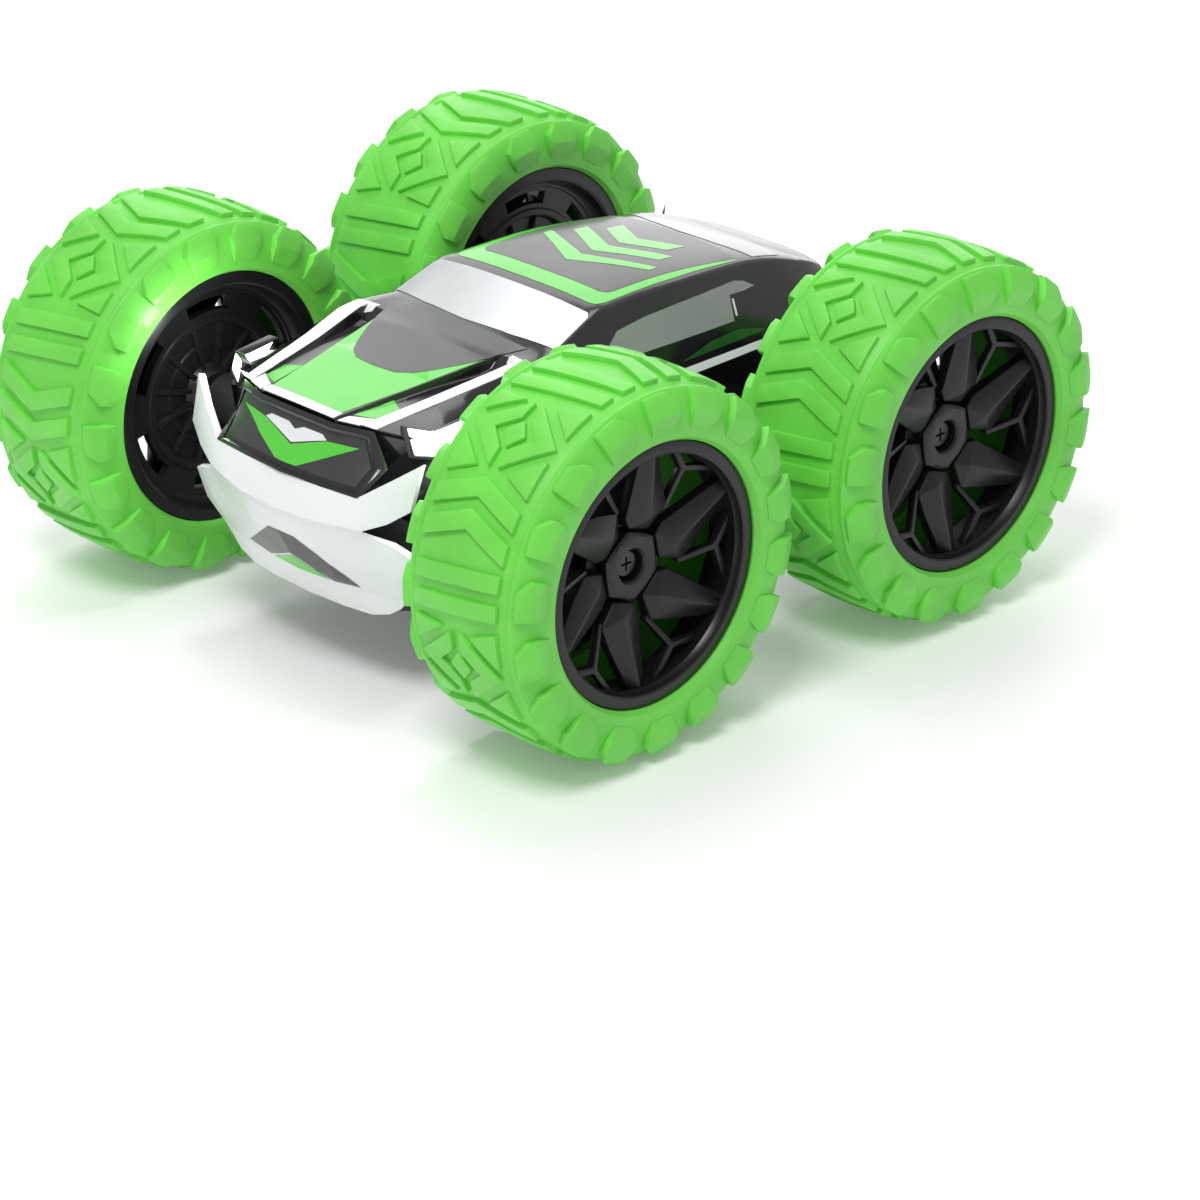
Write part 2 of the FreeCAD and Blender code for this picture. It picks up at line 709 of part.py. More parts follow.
def upper_outline(row, wall):
    """One upper station's corners, moved in by a wall."""
    _, foot, sill, shoulder, top_x, top_z, crown = row
    half = [
        (f"car.half_width+({foot})-({wall})", f"{SPLIT}-({wall})"),
        (f"car.half_width+({sill[0]})-({wall})", f"{sill[1]}-({wall})/3"),
        (f"car.half_width+({shoulder[0]})-({wall})", f"{shoulder[1]}-({wall})*0.7"),
        (f"{top_x}-({wall})*0.6", f"{top_z}-({wall})"),
    ]
    left = [(f"-({x})", z) for x, z in half]
    return left + [("0", f"{crown}-({wall})")] + [(x, z) for x, z in reversed(half)]


def lower_outline(row, wall):
    """One lower station's corners, moved in by a wall."""
    _, foot, sill, floor_x, floor_z = row
    half = [
        (f"car.half_width+({foot})-({wall})", f"{SPLIT}+({wall})"),
        (f"car.half_width+({sill[0]})-({wall})", f"{sill[1]}+({wall})/3"),
        (f"{floor_x}-({wall})*0.6", f"{floor_z}+({wall})"),
    ]
    return mirrored(half)


def hull(name, rows, outline, wall):
    """A loft through a shell's stations. With a wall it is the space inside the shell."""
    own = body(name)
    sketches = []
    for k, row in enumerate(rows):
        offset = f"-({row[0]})"
        if k == 0:
            offset += f"-({wall})"
        if k == len(rows) - 1:
            offset += f"+({wall})"
        sketches.append(polygon(own, "XZ_Plane", f"{name}_{k}", outline(row, wall), offset))
    loft(own, f"{name}_loft", sketches)
    return own


def screw_posts(name, radius, low, high):
    """Four upright posts or holes round the case screws."""
    return [
        rod(f"{name}_{k}", radius, f"({high})-({low})", (f"{sx}*car.screw_x", f"{sy}*car.screw_y", low), "z")
        for k, (sx, sy) in enumerate(((1, -1), (-1, -1), (1, 1), (-1, 1)))
    ]


def axle_holes(name):
    """The round openings that the axle tubes pass through, half in each shell."""
    return [
        rod(f"{name}_{k}", "6.15", "car.half_width*2+20", ("-car.half_width-10", f"{end}*car.wheelbase/2", SPLIT))
        for k, end in enumerate((-1, 1))
    ]


def lens_block(name, side, grow):
    """The corner of the shell that a headlight lens fills."""
    return side_box(
        name,
        side,
        f"24.5-({grow})",
        "45",
        (f"-car.nose_face-2-({grow})", f"-59.5+({grow})"),
        (f"53.5-({grow})", f"64+({grow})"),
    )


def upper_shell():
    """The upper half of the body: hood, cabin and tail, hollow, with posts for the case screws and the board."""
    outer = hull("upper_outer", UPPER, upper_outline, "0")
    inner = hull("upper_inner", UPPER, upper_outline, "car.wall")
    posts = common(
        "upper_posts",
        fuse("upper_post_rods", *screw_posts("upper_post", "3.2", f"{SPLIT}+0.1", "70"), *board_posts()),
        hull("upper_fill", UPPER, upper_outline, "0.4"),
    )
    solid = fuse("upper_solid", cut("upper_hollow", outer, inner), posts)
    openings = fuse(
        "upper_openings",
        *axle_holes("upper_axle_hole"),
        *screw_posts("upper_pilot", "car.screw_radius", "40", "56"),
        lens_block("lens_gap_left", 1, "0.15"),
        lens_block("lens_gap_right", -1, "0.15"),
    )
    sub_part("upper_shell", cut("upper_shell", solid, openings))
    lens_wall = cut(
        "lens_wall",
        hull("lens_outer", UPPER, upper_outline, "0"),
        hull("lens_inner", UPPER, upper_outline, "car.wall"),
    )
    lenses = [
        common(f"lens_{label}", lens_wall, lens_block(f"lens_shape_{label}", side, "0"))
        for label, side in (("left", 1), ("right", -1))
    ]
    sub_part("headlight_lenses", group("headlight_lenses", *lenses))


BOARD_LOW = "61"
BOARD_X = "18"
BOARD_ENDS = ("-2", "44")


def board_posts():
    """Four posts that hang from the roof and carry the circuit board."""
    return [
        rod(f"board_post_{sx}_{k}", "2", "20", (f"{sx}*(car.screw_x)", y, f"{BOARD_LOW}+1.6"), "z")
        for sx in (1, -1)
        for k, y in enumerate(("2", "40"))
    ]


BAY_X = "car.cell_radius*2+0.8"
BAY_Y = "car.cell_length/2+1"
BAY_TOP = "car.floor_height+car.door_thickness+car.cell_radius*2+1"
DOOR_BACK = "car.bay_centre-car.cell_length/2-2"
DOOR_FRONT = f"{DOOR_BACK}+car.door_length"
PIVOT_Y = f"{DOOR_BACK}-1.4"
PIVOT_Z = "car.floor_height+1.5"
PIVOT_RADIUS = 0.7
FRAME_TOP = "car.floor_height+car.door_thickness+1.8"


def lower_shell():
    """The lower half of the body: a tub with the battery bay, the door's recess, the switch slot and screw posts."""
    outer = hull("lower_outer", LOWER, lower_outline, "0")
    inner = hull("lower_inner", LOWER, lower_outline, "car.wall")
    bay = box(
        "bay_walls",
        (f"({BAY_X})*2+2.4", f"({BAY_Y})*2+2.4", f"{BAY_TOP}-car.floor_height+1.2"),
        (f"-({BAY_X})-1.2", f"car.bay_centre-({BAY_Y})-1.2", "car.floor_height"),
    )
    frame = box(
        "door_frame",
        ("car.door_width+5", f"{DOOR_FRONT}-({DOOR_BACK})+8", f"{FRAME_TOP}-car.floor_height"),
        ("-car.door_width/2-2.5", f"{DOOR_BACK}-5.4", "car.floor_height"),
    )
    door_post = rod("door_post", "3.2", "10", ("0", f"{DOOR_FRONT}-4", "car.floor_height"), "z")
    posts = common(
        "lower_posts",
        fuse("lower_post_rods", *screw_posts("lower_post", "3.6", "10", f"{SPLIT}-0.1")),
        hull("lower_fill", LOWER, lower_outline, "0.4"),
    )
    solid = fuse("lower_solid", cut("lower_hollow", outer, inner), bay, frame, door_post, posts)
    openings = fuse(
        "lower_openings",
        box(
            "bay_space",
            (f"({BAY_X})*2", f"({BAY_Y})*2", f"{BAY_TOP}-car.floor_height+2"),
            (f"-({BAY_X})", f"car.bay_centre-({BAY_Y})", "car.floor_height-2"),
        ),
        box(
            "door_recess",
            ("car.door_width+0.5", f"{DOOR_FRONT}-({DOOR_BACK})+3.5", "car.door_thickness+2.15"),
            ("-car.door_width/2-0.25", f"{DOOR_BACK}-3.2", "car.floor_height-2"),
        ),
        box(
            "pivot_recess",
            ("car.door_width+0.5", "3.4", "5.2"),
            ("-car.door_width/2-0.25", f"{DOOR_BACK}-3.2", "car.floor_height-2"),
        ),
        rod("door_pilot", "car.screw_radius+0.2", "9", ("0", f"{DOOR_FRONT}-4", "car.floor_height"), "z"),
        box(
            "switch_slot",
            ("4.4", "car.switch_travel+4.6", "6"),
            ("-2.2", "car.switch_place-car.switch_travel/2-2.3", "car.floor_height-2"),
        ),
        *axle_holes("lower_axle_hole"),
        *screw_posts("lower_way", "car.screw_radius+0.25", "10", "50"),
        *screw_posts("lower_sink", "car.screw_head+0.3", "10", "30"),
    )
    pivot = rod("door_pivot", PIVOT_RADIUS, "car.door_width+1", ("-car.door_width/2-0.5", PIVOT_Y, PIVOT_Z))
    sub_part("lower_shell", fuse("lower_shell", cut("lower_cut", solid, openings), pivot))


# ---- Bumpers and grille ----


def bumper(name, facing, reach, face, top_tip):
    """A thin C-shaped moulding that wraps one end of the body, lofted across the car. facing is -1 for the nose."""
    own = body(name)
    wall = "car.bumper_wall"

    def at(distance):
        """A distance out from the end's flat face, as a Y coordinate."""
        return f"{facing}*({face}+({distance}))"

    far = f"{reach}-{face}"
    stations = [
        ("39.5", "-6", "4", top_tip, "33"),
        ("37", "2.4", "6", top_tip, "26"),
        ("24.5", f"{far}-4", f"{far}-2.6", "51", "21"),
        ("0", f"{far}-1.6", far, "51", "20"),
    ]
    sketches = []
    for side, rows in ((-1, stations), (1, stations[2::-1])):
        for x, top_out, tip_out, top_z, low_z in rows:
            outline = [
                (at(f"({top_out})-{wall}"), top_z),
                (at(top_out), top_z),
                (at(tip_out), "46"),
                (at(f"({tip_out})-0.4"), "38"),
                (at(f"({tip_out})*0.3+{wall}"), f"{low_z}+2.4"),
                (at(wall), low_z),
                (at("0.05"), low_z),
                (at("0.05"), f"{low_z}+2"),
                (at(f"({tip_out})-0.4-{wall}"), "39"),
                (at(f"({tip_out})-{wall}"), "45"),
            ]
            count = len(sketches)
            sketches.append(polygon(own, "YZ_Plane", f"{name}_{count}", outline, f"{side}*{x}"))
    loft(own, f"{name}_loft", sketches)
    return own


def nose_bumper():
    sub_part("nose_bumper", bumper("nose_bumper", -1, "car.nose_reach", "car.nose_face", "60.5"))


def tail_bumper():
    sub_part("tail_bumper", bumper("tail_bumper", 1, "car.tail_reach", "car.tail_face", "55"))


def grille_panel():
    """The slanting black panel between the hood's lip and the nose bumper."""
    own = body("grille_panel")
    outline = [
        ("-car.nose_face-0.05", "64.2"),
        ("-car.nose_face-1.2", "64.2"),
        ("-car.nose_face-7.2", "51.3"),
        ("-car.nose_face-0.05", "51.3"),
        ("-car.nose_face-0.05", "53.2"),
        ("-car.nose_face-4.6", "53.2"),
        ("-car.nose_face-0.9", "61.2"),
        ("-car.nose_face-0.05", "61.2"),
    ]
    pad = feature(own, "Pad", "grille_slab", polygon(own, "YZ_Plane", "grille_outline", outline), Length="46")
    pad.Midplane = True
    sub_part("grille_panel", own)


# ---- Inside ----


def leds():
    """A round headlight diode behind each lens, pointing forward."""
    made = []
    for label, side in (("left", 1), ("right", -1)):
        x = f"{side}*28.6"
        made.append(
            fuse(
                f"led_{label}",
                rod(f"led_body_{label}", "2.4", "5.6", (x, "-68.6", "57.6"), "y"),
                rod(f"led_flange_{label}", "2.8", "1", (x, "-63", "57.6"), "y"),
            )
        )
    sub_part("headlight_leds", group("headlight_leds", *made))


def circuit_board():
    """The receiver and motor driver board, with its chips, capacitor and plugs."""
    length = f"({BOARD_ENDS[1]})-({BOARD_ENDS[0]})"
    board = box("board", (f"{BOARD_X}*2", length, "1.6"), (f"-{BOARD_X}", BOARD_ENDS[0], BOARD_LOW))
    pieces = [
        ("radio_chip", ("6", "6", "1"), ("-3", "3")),
        ("driver_chip_left", ("5", "6", "1.5"), ("6", "20")),
        ("driver_chip_right", ("5", "6", "1.5"), ("-11", "20")),
        ("battery_socket", ("8", "5", "5"), ("-4", "36")),
    ]
    blocks = [
        box(name, size, (corner[0], corner[1], f"{BOARD_LOW}-({size[2]})")) for name, size, corner in pieces
    ]
    capacitor = rod("capacitor", "2.5", "2.6", ("0", "29", f"{BOARD_LOW}-2.6"), "z")
    sub_part("circuit_board", fuse("circuit_board", board, *blocks, capacitor))


def battery_pack():
    """Two round cells side by side in a wrap."""
    low = "car.floor_height+car.door_thickness+0.6+car.cell_radius"
    y = "car.bay_centre-car.cell_length/2"
    cells = [
        rod(f"cell_{label}", "car.cell_radius", "car.cell_length", (f"{side}*car.cell_radius", y, low), "y")
        for label, side in (("left", 1), ("right", -1))
    ]
    web = box(
        "pack_web",
        ("car.cell_radius*2", "car.cell_length", "car.cell_radius*2-0.8"),
        ("-car.cell_radius", y, f"{low}-car.cell_radius+0.4"),
    )
    sub_part("battery_pack", fuse("battery_pack", *cells, web))


def battery_door():
    """A flush door under the battery. Two knuckles at its front end turn on the lower shell's pin."""
    own = body("door_plate")
    half = "car.door_width/2"
    outline = [
        (f"-({half})", DOOR_BACK),
        (half, DOOR_BACK),
        (half, f"{DOOR_FRONT}-3"),
        (f"{half}-3", DOOR_FRONT),
        (f"-({half})+3", DOOR_FRONT),
        (f"-({half})", f"{DOOR_FRONT}-3"),
    ]
    feature(
        own,
        "Pad",
        "door_pad",
        polygon(own, "XY_Plane", "door_outline", outline, "car.floor_height"),
        Length="car.door_thickness",
    )
    knuckles = []
    for label, start in (("left", "5"), ("right", "-13")):
        knuckles.append(rod(f"door_roll_{label}", "1.4", "8", (start, PIVOT_Y, PIVOT_Z)))
        knuckles.append(box(f"door_arm_{label}", ("8", "2", "1.4"), (start, PIVOT_Y, "car.floor_height+0.5")))
    grips = [
        box(f"door_grip_{k}", ("12", "0.8", "1"), ("-6", f"{DOOR_FRONT}-{12 + 2 * k}", "car.floor_height-0.4"))
        for k in range(4)
    ]
    holes = fuse(
        "door_holes",
        rod("door_way", "car.screw_radius+0.1", "6", ("0", f"{DOOR_FRONT}-4", "car.floor_height-1"), "z"),
        rod("door_sink", "car.screw_head+0.1", "2", ("0", f"{DOOR_FRONT}-4", "car.floor_height-1"), "z"),
        rod("door_bore", PIVOT_RADIUS + 0.08, "40", ("-20", PIVOT_Y, PIVOT_Z)),
        *grips,
    )
    sub_part("battery_door", cut("battery_door", fuse("door_solid", own, *knuckles), holes))


def upright_screw(name, x, y, head_low, shank_top, shank_radius):
    """A pan head screw, driven upwards, with a cross in its head."""
    head = rod(f"{name}_head", "car.screw_head-0.2", "1.6", (x, y, head_low), "z")
    shank = rod(f"{name}_shank", shank_radius, f"({shank_top})-({head_low})", (x, y, head_low), "z")
    cross = [
        box(f"{name}_slot", ("3", "0.6", "0.8"), (f"{x}-1.5", f"{y}-0.3", head_low)),
        box(f"{name}_cross", ("0.6", "3", "0.8"), (f"{x}-0.3", f"{y}-1.5", head_low)),
    ]
    return cut(name, fuse(f"{name}_solid", head, shank), fuse(f"{name}_drive", *cross))


def fasteners():
    """Four case screws and the captive screw of the battery door."""
    screws = [
        upright_screw(f"case_screw_{k}", f"{sx}*car.screw_x", f"{sy}*car.screw_y", "28.4", "54", "car.screw_radius")
        for k, (sx, sy) in enumerate(((1, -1), (-1, -1), (1, 1), (-1, 1)))
    ]
    sub_part("case_screws", group("case_screws", *screws))
    low = "car.floor_height-0.6"
    top = "car.floor_height+7.6"
    screw = upright_screw("battery_door_screw", "0", f"{DOOR_FRONT}-4", low, top, "car.screw_radius-0.25")
    sub_part("battery_door_screw", screw)


def power_switch():
    """A slide switch over a slot in the floor, and the knob that a fingertip moves."""
    y = "car.switch_place"
    case = box(
        "switch_case",
        ("8", "16", "6"),
        ("-4", f"{y}-8", "car.floor_height+car.wall"),
    )
    hollow = box(
        "switch_way",
        ("4.4", "car.switch_travel+4.6", "4"),
        ("-2.2", f"{y}-car.switch_travel/2-2.3", "car.floor_height+car.wall-0.5"),
    )
    sub_part("power_switch", cut("power_switch", case, hollow))
    stem = box(
        "knob_stem",
        ("4", "4", "4.2"),
        ("-2", f"{y}-2-car.switch_travel/2", "car.floor_height+0.3"),
    )
    groove = box(
        "knob_groove",
        ("4", "0.8", "0.6"),
        ("-2", f"{y}-0.4-car.switch_travel/2", "car.floor_height+0.3"),
    )
    sub_part("power_switch_knob", cut("power_switch_knob", stem, groove))


def wire(name, radius, points, bend):
    """A round wire along straight runs joined by tangent arcs, swept as one tube."""
    edges, start = [], points[0]
    for before, corner, after in zip(points, points[1:], points[2:]):
        back, on = (before - corner).normalize(), (after - corner).normalize()
        reach = bend * math.tan((math.pi - back.getAngle(on)) / 2)
        first, last = corner + back * reach, corner + on * reach
        middle = (back + on).normalize()
        centre = corner + middle * math.hypot(reach, bend)
        edges.append(Part.LineSegment(start, first).toShape())
        edges.append(Part.Arc(first, centre - middle * bend, last).toShape())
        start = last
    edges.append(Part.LineSegment(start, points[-1]).toShape())
    path = Part.Wire(edges)
    heading = (points[1] - points[0]).normalize()
    ring = Part.Wire(Part.makeCircle(radius, points[0], heading))
    tube = doc.addObject("Part::Feature", name)
    tube.Shape = path.makePipeShell([ring], True, True)
    return tube


def wiring():
    """The leads from the board to the motors and the headlights. Their routes are free curves, so they are wires
    swept with Part's own functions."""
    top = value(f"{BOARD_LOW}")
    motor_top = value(f"{MOTOR_Z}+car.motor_flat/2")
    motor_y = value(MOTOR_Y)
    made = []
    for label, side in (("left", 1), ("right", -1)):
        y = -side * motor_y
        for k, shift in enumerate((-1.5, 1.5)):
            x = side * (4 + 2 * shift)
            points = [
                V(x, y + 3 * shift, motor_top),
                V(x, y + 3 * shift, motor_top + 1.6),
                V(x, 15 + shift, motor_top + 1.6),
                V(x, 15 + shift, top),
            ]
            made.append(wire(f"motor_lead_{label}_{k}", 0.5, points, 0.9))
        for k, shift in enumerate((-0.7, 0.7)):
            points = [
                V(side * 28.6, -61.7, 57.6 + shift),
                V(side * 26.6, -58.4, 60 + shift),
                V(side * 15, -36, 63 + shift),
                V(side * 12, -10, 62 + shift * 0.55),
                V(side * 12, -2.05, 61.8 + shift * 0.55),
            ]
            made.append(wire(f"led_lead_{label}_{k}", 0.4, points, 1.6))
    sub_part("wiring", group("wiring", *made))


# ---- Build, check and write ----


def build():
    for corner, (side, end) in CORNERS.items():
        tyre(corner, side, end)
        outer_rim(corner, side, end)
        inner_rim(corner, side, end)
        axle_and_screw(corner, side, end)
    for label, side in (("left", 1), ("right", -1)):
        gear_train(label, side)
        motor(label, side)
        gear_case(label, side)
    axle_bushes()
    upper_shell()
    lower_shell()
    nose_bumper()
    tail_bumper()
    grille_panel()
    leds()
    circuit_board()
    battery_pack()
    battery_door()
    fasteners()
    power_switch()
    wiring()


def check():
    """Stops with a plain list of every object or shape that failed."""
    wrong = [f"{o.Name}: {o.State}" for o in doc.Objects if {"Invalid", "Error"} & set(o.State)]
    for name, thing in PARTS.items():
        shape = thing.Shape
        if shape.isNull() or not shape.isValid() or not shape.Solids:
            wrong.append(f"{name} has no valid solid")
    reach = value(f"{CENTRE_TO_IDLER}+{IDLER_TO_IDLER}+car.coarse_module*(car.idler_teeth+car.axle_teeth)/2")
    if abs(reach - value("car.wheelbase/2")) > 1e-6:
        wrong.append(f"the gears reach {reach} mm, and the axles stand at {value('car.wheelbase/2')} mm")
    if wrong:
        raise SystemExit("\n".join(wrong))


def write():
    os.makedirs("parts", exist_ok=True)
    for name, thing in PARTS.items():
        thing.Shape.exportStep(f"parts/{name}.step")
        print(f"{name:30s} {len(thing.Shape.Solids)} solids {thing.Shape.Volume:10.1f} mm3")


fill_sheet()
build()
doc.recompute()
check()
write()
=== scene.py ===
"""Finish of the stunt car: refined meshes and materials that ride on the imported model."""

import json
import math

import bmesh
import bpy
from bpy.props import FloatProperty, FloatVectorProperty, IntProperty
from mathutils import Matrix, Vector


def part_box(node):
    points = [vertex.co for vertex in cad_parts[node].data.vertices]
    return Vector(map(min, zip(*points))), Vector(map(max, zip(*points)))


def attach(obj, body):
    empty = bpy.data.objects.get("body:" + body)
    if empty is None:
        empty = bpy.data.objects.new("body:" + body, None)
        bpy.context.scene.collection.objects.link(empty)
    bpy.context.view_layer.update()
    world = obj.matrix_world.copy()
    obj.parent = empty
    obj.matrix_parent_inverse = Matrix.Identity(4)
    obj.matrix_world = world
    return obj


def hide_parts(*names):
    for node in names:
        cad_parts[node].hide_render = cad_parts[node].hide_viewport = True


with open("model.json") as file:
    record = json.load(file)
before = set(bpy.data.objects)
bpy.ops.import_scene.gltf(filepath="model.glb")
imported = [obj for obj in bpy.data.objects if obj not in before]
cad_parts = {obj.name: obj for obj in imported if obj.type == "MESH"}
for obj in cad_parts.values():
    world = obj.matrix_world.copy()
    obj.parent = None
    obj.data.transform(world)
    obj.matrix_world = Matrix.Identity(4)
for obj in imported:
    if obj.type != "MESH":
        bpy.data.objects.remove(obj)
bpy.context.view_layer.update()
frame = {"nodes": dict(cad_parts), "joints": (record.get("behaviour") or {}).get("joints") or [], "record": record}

bl_info = {
    "name": "Stunt Car Finish",
    "version": (1, 0, 0),
    "blender": (4, 5, 0),
    "location": "3D View > Sidebar > Stunt Car",
    "description": "Builds the finished look of a two-sided stunt car over its engineering model",
    "category": "Object",
}

MM = 0.001
CORNERS = {"front_left": (1, -1), "front_right": (-1, -1), "rear_left": (1, 1), "rear_right": (-1, 1)}
SIDES = {"left": 1, "right": -1}


class CarSettings(bpy.types.PropertyGroup):
    """Sizes and colours that can be changed before the pieces are built."""

    tyre_colour: FloatVectorProperty(
        name="Tyre colour",
        description="Soft lime tyre",
        subtype="COLOR",
        size=3,
        default=(0.17, 0.7, 0.08),
    )
    print_green: FloatVectorProperty(
        name="Print green",
        description="Green of the stickers",
        subtype="COLOR",
        size=3,
        default=(0.1, 0.62, 0.05),
    )
    print_grey: FloatVectorProperty(
        name="Print grey",
        description="Dark grey of the stickers",
        subtype="COLOR",
        size=3,
        default=(0.042, 0.042, 0.044),
    )
    bumper_white: FloatVectorProperty(
        name="Bumper white",
        description="White of the bumpers",
        subtype="COLOR",
        size=3,
        default=(0.83, 0.85, 0.86),
    )
    plate_height: FloatProperty(
        name="Tread height", description="How far the tread plates stand up", unit="LENGTH", default=0.0012
    )
    lug_height: FloatProperty(
        name="Lug height", description="How far the shoulder lugs stand up", unit="LENGTH", default=0.0019
    )
    shell_wall: FloatProperty(
        name="Shell wall", description="Thickness of the body shell", unit="LENGTH", default=0.0012
    )
    lug_count: IntProperty(name="Lugs", description="Shoulder lugs round one side of a tyre", default=18)
    tread_count: IntProperty(name="Tread repeats", description="Repeats of the tread round a tyre", default=5)
    spoke_count: IntProperty(name="Spokes", description="Spokes in a rim", default=6)
    lamp_glow: FloatProperty(name="Lamp glow", description="Strength of the headlights", default=4.0)


def settings():
    return bpy.context.scene.stunt_car


# ---- Geometry helpers ----


def place_object(name, data):
    """Adds an object to the scene."""
    thing = bpy.data.objects.new(name, data)
    bpy.context.scene.collection.objects.link(thing)
    return thing


def mesh_object(name, shape, material):
    """Adds an object made from a bmesh, which is used up."""
    mesh = bpy.data.meshes.new(name)
    shape.to_mesh(mesh)
    shape.free()
    mesh.materials.append(material)
    return place_object(name, mesh)


def new_piece(name, shape, material):
    """Makes an object from a bmesh in millimetres, with its corners joined and its faces turned out."""
    bmesh.ops.remove_doubles(shape, verts=shape.verts, dist=0.003)
    bmesh.ops.recalc_face_normals(shape, faces=shape.faces)
    return mesh_object(name, shape, material)


def discard(thing):
    """Removes an object and its mesh."""
    mesh = thing.data
    bpy.data.objects.remove(thing)
    bpy.data.meshes.remove(mesh)


def pour(part, shape):
    """Adds one bmesh to another, and frees it."""
    mesh = bpy.data.meshes.new("part")
    part.to_mesh(mesh)
    part.free()
    shape.from_mesh(mesh)
    bpy.data.meshes.remove(mesh)


def bake(thing):
    """Replaces an object's mesh with its evaluated one and drops the modifiers."""
    if not thing.modifiers:
        return thing
    graph = bpy.context.evaluated_depsgraph_get()
    mesh = bpy.data.meshes.new_from_object(thing.evaluated_get(graph))
    old = thing.data
    thing.modifiers.clear()
    thing.data = mesh
    bpy.data.meshes.remove(old)
    return thing


def round_edges(thing, width, segments=2, angle=28):
    """Rounds every edge sharper than an angle."""
    bevel = thing.modifiers.new("Round", "BEVEL")
    bevel.width = width
    bevel.segments = segments
    bevel.limit_method = "ANGLE"
    bevel.angle_limit = math.radians(angle)
    bevel.harden_normals = False
    return thing


def thicken(thing, wall, offset=-1.0):
    """Gives a skin its wall."""
    solid = thing.modifiers.new("Wall", "SOLIDIFY")
    solid.thickness = wall
    solid.offset = offset
    solid.use_even_offset = True
    solid.thickness_clamp = 1.5
    return thing


def merge(name, things):
    """Joins baked objects of one material into the first one's name."""
    shape = bmesh.new()
    material = things[0].data.materials[0]
    for thing in things:
        bake(thing)
        shape.from_mesh(thing.data)
        discard(thing)
    return mesh_object(name, shape, material)


def split_faces(thing):
    """Cuts every face into triangles, so that a film cut from a skin lies on it exactly."""
    shape = bmesh.new()
    shape.from_mesh(thing.data)
    bmesh.ops.triangulate(shape, faces=shape.faces)
    shape.to_mesh(thing.data)
    shape.free()
    return thing


def smooth(mesh, angle=30):
    """Shades a mesh smooth but for its sharp edges."""
    mesh.shade_smooth()
    mesh.set_sharp_from_angle(angle=math.radians(angle))


def finish_piece(thing, body, replaced=(), angle=30):
    """Bakes a piece made in millimetres, brings it to metres and ties it to its body."""
    bake(thing)
    thing.data.transform(Matrix.Scale(MM, 4))
    smooth(thing.data, angle)
    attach(thing, body)
    if replaced:
        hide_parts(*replaced)
    return thing


def lathe(profile, steps, closed=True, shape=None):
    """Turns a profile of (x, radius) points round the X axis."""
    shape = shape or bmesh.new()
    rings = []
    for k in range(steps):
        turn = math.tau * k / steps
        spots = [(x, r * math.sin(turn), r * math.cos(turn)) for x, r in profile]
        rings.append([shape.verts.new(spot) for spot in spots])
    last = len(profile) if closed else len(profile) - 1
    for k in range(steps):
        here, there = rings[k], rings[(k + 1) % steps]
        for i in range(last):
            j = (i + 1) % len(profile)
            shape.faces.new((here[i], here[j], there[j], there[i]))
    return shape


def plate(outline, height, sunk, edge, step_u=0.0, step_v=0.0, shape=None):
    """A plate with rounded edges standing on a flat sheet, cut finely enough to be bent afterwards."""
    shape = shape or bmesh.new()
    part = bmesh.new()
    face = part.faces.new([part.verts.new((u, v, -sunk)) for u, v in outline])
    face.normal_update()
    if face.normal.z < 0:
        face.normal_flip()
    for axis, step in ((Vector((1, 0, 0)), step_u), (Vector((0, 1, 0)), step_v)):
        if not step:
            continue
        reach = [v.co.dot(axis) for v in part.verts]
        place = (math.floor(min(reach) / step) + 1) * step
        while place < max(reach) - 0.05:
            everything = part.verts[:] + part.edges[:] + part.faces[:]
            bmesh.ops.bisect_plane(part, geom=everything, plane_co=axis * place, plane_no=axis, dist=0.02)
            place += step
    made = bmesh.ops.extrude_face_region(part, geom=part.faces[:], use_keep_orig=True)
    for item in made["geom"]:
        if isinstance(item, bmesh.types.BMVert):
            item.co.z = height
    bmesh.ops.recalc_face_normals(part, faces=part.faces)
    sharp = []
    for rim in part.edges:
        if len(rim.link_faces) == 2 and rim.calc_face_angle(0) > 0.5:
            if max(v.co.z for v in rim.verts) > 0:
                sharp.append(rim)
    if edge:
        bmesh.ops.bevel(
            part, geom=sharp, offset=edge, segments=2, profile=0.5, affect="EDGES", clamp_overlap=True
        )
    pour(part, shape)
    return shape


def bend(shape, rule):
    """Moves every corner of a bmesh by a rule."""
    for vert in shape.verts:
        vert.co = Vector(rule(*vert.co))
    return shape


def between(table, at):
    """Reads a table of (key, value) pairs in rising order, straight between its rows."""
    if at <= table[0][0]:
        return table[0][1]
    for (a, low), (b, high) in zip(table, table[1:]):
        if at <= b:
            return low + (high - low) * (at - a) / (b - a)
    return table[-1][1]


def new_group(name, kind, inputs, outputs):
    """A node group with its sockets, given as (name, kind) pairs, and its two end nodes."""
    tree = bpy.data.node_groups.new(name, kind)
    for way, sockets in (("INPUT", inputs), ("OUTPUT", outputs)):
        for label, socket in sockets:
            tree.interface.new_socket(label, in_out=way, socket_type=f"NodeSocket{socket}")
    return tree, tree.nodes.new("NodeGroupInput"), tree.nodes.new("NodeGroupOutput")


